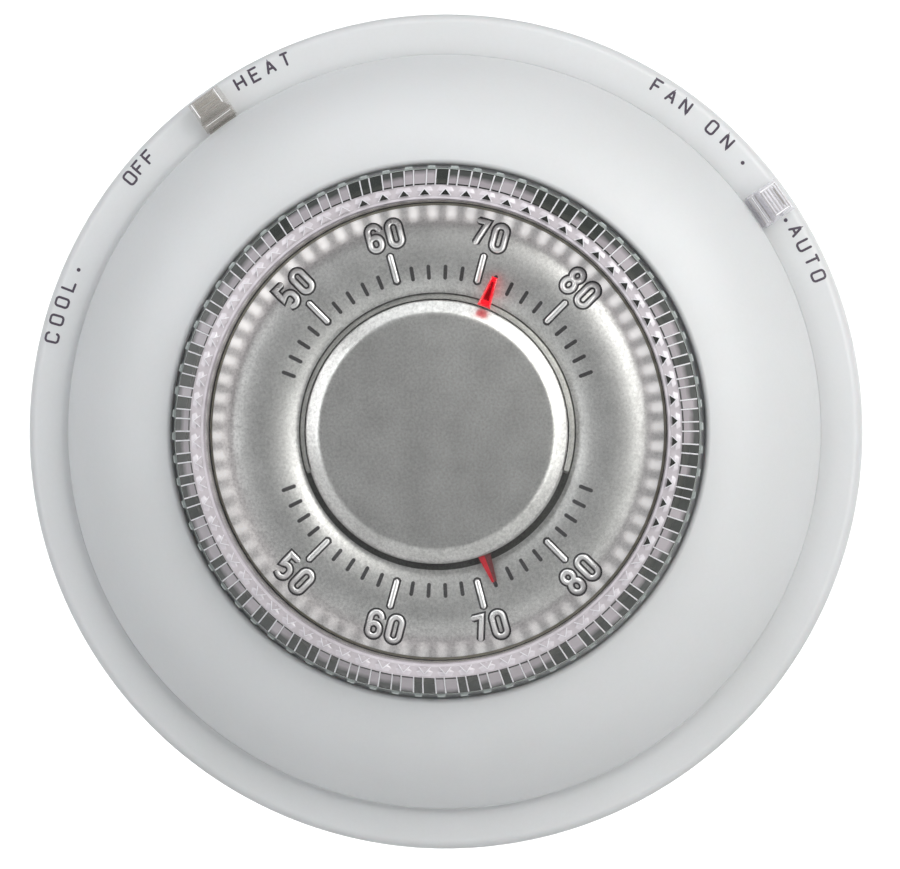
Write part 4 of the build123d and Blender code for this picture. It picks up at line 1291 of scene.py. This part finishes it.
@dataclass
class DialPlate:
    """The silver dial plate with its arch, numbers and scale marks."""

    bore: float = 14.5
    crest: float = 23.3
    crest_rise: float = 0.9
    crest_half: float = 5.1
    thickness: float = 0.6
    number_circle: float = 26.45
    number_height: float = 4.35
    digit_width: float = 2.62
    digit_pitch: float = 2.72
    outline: float = 1.12
    bead: float = 0.62
    long_mark: Flat = (19.75, 24.15)
    short_mark: Flat = (19.85, 21.8)
    mark_width: float = 0.5
    degree: float = 3.0
    middle_heat: float = 65.0
    # The outer radius of the painted shadow round the cap's foot.
    groove: float = 18.18

    numbers = (50, 60, 70, 80)

    def __post_init__(self) -> None:
        """Reads the sizes that the frame gives."""
        self.radius = reach("dial_plate")
        self.foot = front("dial_plate") - self.crest_rise
        self.arch_radius = (self.crest_half**2 + self.crest_rise**2) / 2 / self.crest_rise

    def depth(self, radius: float) -> float:
        """The depth of the plate's face at a radius."""
        across = radius - self.crest
        if abs(across) >= self.crest_half:
            return self.foot
        return self.foot + self.crest_rise - self.arch_radius + math.sqrt(self.arch_radius**2 - across**2)

    def build(self) -> None:
        """Builds the plate, its numbers and its marks."""
        plate = Shape("dial_face", [PLATE_METAL])
        ridge = [self.crest + self.crest_half * step / 12 for step in range(-12, 13)]
        radii = [self.bore, *ridge, self.radius]
        face = [(radius, self.depth(radius)) for radius in radii]
        rear = [(radius, self.depth(radius) - self.thickness) for radius in reversed(radii)]
        plate.lathe([*face, *rear], 288)
        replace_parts(plate.build(Body.BASE, Slot.METAL), "dial_plate")
        self._foot_line()
        self._numbers()
        self._marks()

    def _foot_line(self) -> None:
        """Builds a painted shadow: a thin dark band on the plate round the cap's foot, wider where the
        needle's slot is.
        """
        groove = Shape("cap_foot_groove", [SHADOW_PAINT_METAL])
        # Painted shadow: a flat dark band all round, and a wider one under the needle's slot.
        for inner, start, turn in ((17.9, 0.0, 360.0), (16.9, 198.0, 144.0)):
            outer, face = self.groove, self.foot + (0.02 if turn < 360.0 else 0.025)
            profile = [(inner, self.foot - 0.1), (outer, self.foot - 0.1), (outer, face), (inner, face)]
            groove.lathe(profile, 288 if turn >= 360.0 else 120, start, turn)
        groove.build(Body.BASE, Slot.METAL)

    def _numbers(self) -> None:
        """Builds the raised numbers of both scales."""
        shape = Shape("dial_numbers", [TICK_INK, NUMBER_METAL])
        for heat in self.numbers:
            turn = (heat - self.middle_heat) * self.degree
            for angle, upright in ((90.0 - turn, 90.0), (270.0 + turn, 270.0)):
                self._number(shape, heat, angle, upright)
        shape.build(Body.BASE, Slot.METAL)

    def _number(self, shape: Shape, heat: int, angle: float, upright: float) -> None:
        """Two digits with a dark outline and a bright bead inside it.

        Args:
            shape: The shape they are added to.
            heat: The number.
            angle: Its angle on the dial.
            upright: 90 on the upper scale, or 270 on the lower one, where its top points inwards.
        """
        way = 1.0 if upright < 180.0 else -1.0
        for place, digit in enumerate(str(heat)):
            shift = (place - 0.5) * self.digit_pitch
            for number, (path, closed) in enumerate(self._digit(digit)):
                drawn = [(way * (x + shift), way * y) for x, y in path]
                seen = [turned(point, angle, self.number_circle) for point in drawn]
                rise = 0.004 * number + 0.002 * place
                shape.stroke(seen, self.outline, closed, self.depth, 0.02 + rise, 0.0, 0)
                shape.stroke(seen, self.bead, closed, self.depth, 0.05 + rise, 0.17, 1)

    def _digit(self, digit: str) -> list[tuple[list[Flat], bool]]:
        """The strokes of one condensed digit about its own centre.

        Args:
            digit: The digit.

        Returns:
            The strokes, and whether each is a closed loop.
        """
        w = (self.digit_width - self.outline) / 2
        h = (self.number_height - self.outline) / 2
        top = arc((0.0, h - w), (w, w), 0, 180, 12)
        low = arc((0.0, -h + w), (w, w), 180, 180, 12)
        waist = 0.12
        bowl = arc((0.0, waist - w), (w, w), 180, -180, 12)
        drop = arc((0.0, waist - w + 0.1), (w, w), 150, -150, 10)
        small = (h - waist) / 2
        strokes = {
            "0": [([*top, *low], True)],
            "5": [([(w, h), (-w, h), (-w, waist - 0.2), *drop[2:], *low[::-1][:11], ], False)],
            "6": [([(w, h - w - 0.1), *top, *low, *bowl[::-1][:-1]], False)],
            "7": [([(-w, h), (w, h), (-w * 0.35, -h)], False)],
            "8": [
                ([*arc((0.0, waist + small), (w * 0.92, small), 0, 345, 23)], True),
                ([*arc((0.0, (waist - h) / 2), (w, (h + waist) / 2), 0, 345, 23)], True),
            ],
        }
        return strokes[digit]

    def _marks(self) -> None:
        """Builds the long raised marks and the short printed ones."""
        long_marks = Shape("long_marks", [TICK_INK, NUMBER_METAL])
        short_marks = Shape("short_marks", [TICK_INK])
        for base, way in ((90.0, -1.0), (270.0, 1.0)):
            for heat in range(42, 89, 2):
                angle = base + way * (heat - self.middle_heat) * self.degree
                if heat in self.numbers:
                    path = self._line(*self.long_mark, angle)
                    long_marks.stroke(path, 1.1, False, self.depth, 0.02, 0.0, 0)
                    bead = self._line(self.long_mark[0] + 0.3, self.long_mark[1] - 0.2, angle)
                    long_marks.stroke(bead, 0.62, False, self.depth, 0.05, 0.12, 1)
                else:
                    path = self._line(self.short_mark[0], self.short_mark[1], angle)
                    short_marks.stroke(path, self.mark_width, False, self.depth, 0.02)
        long_marks.build(Body.BASE, Slot.METAL)
        short_marks.build(Body.BASE, Slot.METAL)

    @staticmethod
    def _line(inner: float, outer: float, angle: float) -> list[Flat]:
        """Points along a radius, close enough to follow the arch."""
        return [turned((0.0, inner + (outer - inner) * step / 8), angle) for step in range(9)]


@dataclass
class CentreCap:
    """The silver cap over the thermometer, open below its rim for the needle."""

    face_radius: float = 15.4
    rim_radius: float = 17.2
    bevel: float = 0.9
    wall: float = 0.6
    slot_height: float = 1.9
    slot_half: float = 73.0

    def build(self) -> None:
        """Builds the cap's top, and its skirt on each side of the slot."""
        shape = Shape("cap_shell", [CAP_METAL, SHADOW_PAINT_METAL])
        top, foot_radius, foot = front("centre_cap"), reach("centre_cap"), back("centre_cap")
        slot_top = foot + self.slot_height
        rim = top - self.bevel
        share = (rim - slot_top) / (rim - foot)
        slot_radius = self.rim_radius + (foot_radius - self.rim_radius) * share
        soft = arc((self.face_radius - 0.45, top - 1.8), (1.8, 1.8), 90, -26, 6)
        turn = arc((self.rim_radius - 0.5, rim - 0.42), (0.5, 0.5), 64, -54, 7)
        upper = [
            (0.0, top),
            *soft,
            *turn,
            (slot_radius, slot_top),
            (slot_radius - self.wall, slot_top),
            (self.rim_radius - self.wall, rim - self.wall / 2),
            (self.face_radius - 0.2, top - self.wall),
            (0.0, top - self.wall),
        ]
        shape.lathe(upper, 288)
        skirt = [
            (slot_radius, slot_top),
            (foot_radius, foot),
            (foot_radius - self.wall, foot),
            (slot_radius - self.wall, slot_top),
        ]
        shape.lathe(skirt, 200, 270.0 + self.slot_half, 360.0 - 2 * self.slot_half)
        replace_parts(shape.build(Body.BASE, Slot.METAL), "centre_cap")


@dataclass
class RoomNeedle:
    """The red needle that comes out under the cap's rim, with a creased blade whose one half is painted
    darker as shade.
    """

    root: Flat = (16.6, 0.92)
    tip: Flat = (21.0, 0.33)
    crest: float = 0.18

    def build(self) -> None:
        """Builds the hub disc and the creased blade."""
        shape = Shape("red_room_needle", [RED_PAINT, RED_SHADED_HALF])
        low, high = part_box("room_needle")
        base, face = back("room_needle"), front("room_needle")
        angle = heading("room_needle")
        hub = min(-low.x, high.z) / MM
        shape.lathe([(1.6, base), (hub, base), (hub, face), (1.6, face)], 48)
        edge = face - self.crest
        # Painted shade: one half of the creased blade takes the darker red.
        for finish, way in ((0, 1.0), (1, -1.0)):
            outlines = []
            for radius, half in ((1.6, 0.9), self.root, self.tip):
                corners = ((0.0, base), (way * half, base), (way * half, edge), (0.0, face))
                outlines.append([(*turned((across, radius), angle), depth) for across, depth in corners])
            shape.loft(outlines, finish)
        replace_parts(shape.build(Body.NEEDLE, Slot.RED, 15.0), "room_needle")


# ---------------------------------------------------------------- levers


@dataclass
class Lever:
    """A clear switch lever: its peg, stem and arm, and the ridged tab that a finger pushes."""

    name: str
    body: Body
    plastic: ClearPlastic
    ridges: int
    stem: Flat = (46.7, 48.2)
    stem_width: float = 3.2
    slider_depth: float = 2.0
    peg_radius: float = 0.6
    arm: Flat = (17.25, 17.85)
    tab: Flat = (51.35, 56.0)
    tab_width: float = 4.9
    draft: float = 0.45
    step: float = 1.25
    step_drop: float = 1.5
    edge: float = 0.14
    pitch: float = 0.5
    ridge: float = 0.28
    groove: Flat = (0.34, 0.42)
    bar_places: tuple[float, ...] = (0.14, 0.5, 0.86)
    bar: float = 0.11
    bar_height: float = 0.16

    def build(self) -> None:
        """Builds the lever as one piece."""
        shape = Shape(f"{self.name}_clear", [self.plastic, LEVER_SHADE_LINE, LEVER_HIGHLIGHT])
        self.angle = heading(self.name)
        foot, top = back(self.name), front(self.name)
        middle = sum(self.stem) / 2
        head = foot + self.slider_depth
        peg = arc((0.0, middle), (self.peg_radius, self.peg_radius), 0, 345, 23)
        shape.loft([[(*turned(point, self.angle), depth) for point in peg] for depth in (foot, head)])
        self._block(shape, self.stem, self.stem_width / 2, (head, self.arm[0]), 0.0)
        self._block(shape, (self.stem[0], self.tab[0] - 0.02), self.tab_width / 2 - 0.3, self.arm, 0.0)
        self._tab(shape, top)
        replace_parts(shape.build(self.body, Slot.CLEAR, 20.0), self.name)

    def _block(
        self, shape: Shape, radii: Flat, half: float, depths: Flat, draft: float, finish: int = 0
    ) -> None:
        """A block between two radii, with its front drawn in and its front edges broken.

        Args:
            shape: The shape it is added to.
            radii: Its inner and outer radius.
            half: Half its width.
            depths: The depth of its back and of its front.
            draft: How much its front is drawn in on each side.
            finish: Its finish.
        """
        low, high = depths
        edge = min(self.edge, (high - low) / 2)
        ends = []
        for depth, inset in ((low, 0.0), (high - edge, draft), (high, draft + edge)):
            inner, outer, side = radii[0] + inset, radii[1] - inset, half - inset
            corners = ((-side, inner), (side, inner), (side, outer), (-side, outer))
            ends.append([(*turned(corner, self.angle), depth) for corner in corners])
        shape.loft(ends, finish)

    def _edges(self, shape: Shape, split: float, level: float) -> None:
        """The thin painted lines of light and shade that run round the top of the tab.

        Args:
            shape: The shape they are added to.
            split: The radius of the tall block's inner side.
            level: The depth of the tab's top.
        """
        wide, inset = 0.13, self.draft + self.edge
        side = self.tab_width / 2 - inset
        inner, outer = split + inset, self.tab[1] - inset
        bars = (
            ((-side, inner), (side, inner), 1),
            ((side, inner), (side, outer), 2),
            ((side, outer), (-side, outer), 1),
            ((-side, outer), (-side, inner), 2),
        )
        for start, end, finish in bars:
            path = [turned(start, self.angle), turned(end, self.angle)]
            shape.stroke(path, wide, False, lambda r: level, 0.03, 0.02, finish)

    def _tab(self, shape: Shape, top: float) -> None:
        """The tab: a tall block outside, a low cut step inside, and ridges across its top."""
        half, base, gap = self.tab_width / 2, self.arm[0], 0.01
        split = self.tab[0] + self.step
        block_top, step_top = top - 0.2, top - self.step_drop
        self._block(shape, (split, self.tab[1]), half, (base, block_top), self.draft)
        self._block(shape, (self.tab[0], split - gap), half, (base, step_top), 0.1)
        self._edges(shape, split, block_top + gap)
        inside = half - self.draft - 0.35
        for ridge in range(self.ridges):
            radius = split + self.draft + 0.12 + ridge * self.pitch
            self._block(shape, (radius, radius + self.ridge), inside, (block_top + gap, top), 0.0, 0)
            # Painted shade in the groove between two ridges.
            groove = (radius + self.groove[0], radius + self.groove[1])
            self._block(shape, groove, inside, (block_top + gap, block_top + 0.05), 0.0, 1)
        start = split + self.draft + 0.2 + self.ridges * self.pitch
        end = self.tab[1] - self.draft - 0.25
        self._block(shape, (start, end), inside - 0.1, (block_top + gap, top - 0.05), 0.05, 0)
        # A painted shade line near the tab's outer end.
        self._block(shape, (end - 0.5, end - 0.3), inside - 0.35, (top - 0.04, top), 0.0, 1)
        # Painted shade and painted highlight lines in turn across the step.
        depths = (step_top + gap, step_top + self.bar_height)
        for number, place in enumerate(self.bar_places):
            radius = self.tab[0] + self.step * place - 0.05
            self._block(shape, (radius, radius + self.bar), half - 0.4, depths, 0.0, 1 + number % 2)


# ---------------------------------------------------------------- pieces kept from the frame


INNER_FINISHES: dict[str, object] = {
    "white_plastic": WHITE,
    "grey_plastic": Moulded("wallplate_grey", (0.34, 0.345, 0.35), (0.28, 0.285, 0.29), 0.5, 1500.0, 0.02),
    "clear_plastic": LEVER_CLEAR,
    "red_translucent": RED_LIT_EDGE,
    "red_paint": RED_PAINT,
    "satin_metal": CAP_METAL,
    "dark_plastic": Moulded("inner_black", (0.022, 0.023, 0.025), (0.035, 0.036, 0.038), 0.45, 1500.0, 0.02),
    "ivory_plastic": Moulded(
        "ivory_nylon", (0.66, 0.62, 0.52), (0.58, 0.54, 0.45), 0.45, 1500.0, 0.015, scatter=0.05
    ),
    "board": Moulded(
        "board_mask", (0.02, 0.13, 0.055), (0.03, 0.18, 0.08), 0.3, 900.0, 0.02, 160.0, coat=0.3
    ),
    "brass": Moulded("brass_strip", (0.74, 0.55, 0.26), (0.58, 0.42, 0.2), 0.28, 2600.0, 0.01, 120.0, 1.0),
    "plated_steel": Moulded(
        "zinc_plate", (0.66, 0.66, 0.68), (0.5, 0.5, 0.52), 0.3, 2600.0, 0.01, 140.0, 1.0
    ),
    "relay_plastic": Moulded("relay_case", (0.03, 0.09, 0.24), (0.02, 0.07, 0.19), 0.35, 1800.0, 0.015),
    "component_black": Moulded("chip_epoxy", (0.03, 0.03, 0.031), (0.045, 0.045, 0.046), 0.55, 2600.0, 0.02),
    "component_blue": Moulded("capacitor_sleeve", (0.025, 0.06, 0.2), (0.02, 0.045, 0.15), 0.3, 1800.0, 0.01),
}


def dress_frame() -> None:
    """Gives every node of the frame the finish of its material slot."""
    slots = {row["node"]: row["slot"] for row in frame["record"].get("node_materials", [])}
    for name, node in frame["nodes"].items():
        for place in range(len(node.material_slots)):
            given = node.material_slots[place].material
            key = slots.get(name) or (given.name.split(".")[0] if given else "")
            if key in INNER_FINISHES:
                node.material_slots[place].material = finish_of(INNER_FINISHES[key])
            else:
                LOG.warning("%s has no finish for %s", name, key)


# ---------------------------------------------------------------- stage


@dataclass
class Studio:
    """The pale floor that rises into a round backdrop, the soft lights and the camera."""

    floor_height: float = -0.16
    floor_radius: float = 1.1
    wall_radius: float = 1.7
    wall_height: float = 1.6
    camera_distance: float = 0.45
    camera_side: float = 2.8
    frame_width: float = 0.12646
    aim: Flat = (0.00016, -0.00042)

    def build(self) -> None:
        """Builds the stage, the lights and the camera."""
        self._floor()
        self._lights()
        self._camera()
        view = bpy.context.scene.view_settings
        view.view_transform = "Standard"
        view.look = "None"
        view.exposure = 0.0

    def _floor(self) -> None:
        """Builds the floor and its round backdrop."""
        profile = [(0.0, 0.0), (self.floor_radius, 0.0)]
        corner = self.wall_radius - self.floor_radius
        profile += arc((self.floor_radius, corner), (corner, corner), 270, 90, 16)
        profile.append((self.wall_radius, self.wall_height))
        steps = 96
        points = []
        for step in range(steps):
            angle = math.tau * step / steps
            for radius, height in profile:
                across, along = radius * math.cos(angle), radius * math.sin(angle)
                points.append((across, along, height + self.floor_height))
        size = len(profile)
        faces = []
        for step in range(steps):
            here, there = step * size, (step + 1) % steps * size
            for side in range(size - 1):
                faces.append((here + side, there + side, there + side + 1, here + side + 1))
        mesh = bpy.data.meshes.new("floor")
        mesh.from_pydata(points, [], faces)
        work = bmesh.new()
        work.from_mesh(mesh)
        bmesh.ops.remove_doubles(work, verts=work.verts, dist=1e-6)
        bmesh.ops.recalc_face_normals(work, faces=work.faces)
        work.to_mesh(mesh)
        work.free()
        mesh.shade_smooth()
        mesh.materials.append(Paper().make())
        floor = bpy.data.objects.new("floor", mesh)
        bpy.context.scene.collection.objects.link(floor)

    @staticmethod
    def _area(name: str, place: Solid, target: Solid, size: Flat, power: float, colour: Solid) -> None:
        """A soft rectangular light.

        Args:
            name: Its name.
            place: Where it is.
            target: What it points at.
            size: Its width and height.
            power: Its power, in watts.
            colour: Its colour.
        """
        light = bpy.data.lights.new(name, "AREA")
        light.shape = "RECTANGLE"
        light.size, light.size_y = size
        light.energy = power
        light.color = colour
        lamp = bpy.data.objects.new(name, light)
        lamp.location = place
        lamp.rotation_euler = (Vector(target) - Vector(place)).to_track_quat("-Z", "Y").to_euler()
        bpy.context.scene.collection.objects.link(lamp)

    def _lights(self) -> None:
        """Sets the sky, the two soft boxes in front and the two lamps on the backdrop."""
        world = bpy.data.worlds.new("sky")
        world.use_nodes = True
        sky = world.node_tree.nodes["Background"]
        sky.inputs["Color"].default_value = (0.93, 0.96, 1.0, 1.0)
        sky.inputs["Strength"].default_value = 0.2
        bpy.context.scene.world = world
        centre = (0.0, 0.0, 0.0)
        self._area("key", (0.26, -0.33, 0.23), centre, (0.34, 0.34), 1.35, (1.0, 0.99, 0.97))
        self._area("right", (0.36, -0.40, -0.03), centre, (0.3, 0.36), 0.75, (1.0, 1.0, 0.98))
        self._area("fill", (-0.30, -0.18, -0.28), centre, (0.34, 0.34), 0.8, (0.98, 0.99, 1.0))
        self._area("left", (-0.34, -0.30, 0.10), centre, (0.3, 0.36), 0.7, (0.98, 0.99, 1.0))
        self._area("top", (-0.08, -0.26, 0.38), centre, (0.4, 0.24), 0.5, (0.97, 0.985, 1.0))
        for side in (-0.6, 0.6):
            self._area("backdrop", (side, 0.55, 0.75), (side, 1.7, 0.35), (0.6, 0.6), 14.0, (1.0, 1.0, 1.0))

    def _camera(self) -> None:
        """Sets the camera level with the dial and a little to its right."""
        lens = bpy.data.cameras.new("camera")
        lens.sensor_width = 36.0
        lens.lens = lens.sensor_width * self.camera_distance / self.frame_width
        camera = bpy.data.objects.new("camera", lens)
        side = math.radians(self.camera_side)
        camera.location = (
            self.camera_distance * math.sin(side) + self.aim[0],
            -self.camera_distance * math.cos(side),
            self.aim[1],
        )
        target = Vector((self.aim[0], 0.0, self.aim[1]))
        camera.rotation_euler = (target - camera.location).to_track_quat("-Z", "Y").to_euler()
        bpy.context.scene.collection.objects.link(camera)
        bpy.context.scene.camera = camera


def clear_startup() -> None:
    """Removes whatever Blender's start-up file left in the scene."""
    kept = {*frame["nodes"].values(), *frame["bodies"].values()}
    for leftover in [thing for thing in bpy.data.objects if thing not in kept]:
        bpy.data.objects.remove(leftover)


def main() -> None:
    """Builds every sub-assembly in order."""
    logging.basicConfig(level=logging.INFO, format="%(name)s %(message)s")
    clear_startup()
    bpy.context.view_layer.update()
    dress_frame()
    assemblies = (
        Bezel(),
        Cover(),
        SettingDial(),
        DialPlate(),
        CentreCap(),
        RoomNeedle(),
        Lever("system_lever", Body.SYSTEM, LEVER_SMOKY, 2),
        Lever("fan_lever", Body.FAN, LEVER_CLEAR, 4),
        Studio(),
    )
    for assembly in assemblies:
        assembly.build()
        LOG.info("%s is built", type(assembly).__name__)
    bpy.context.view_layer.update()


if __name__ == "__main__":
    main()
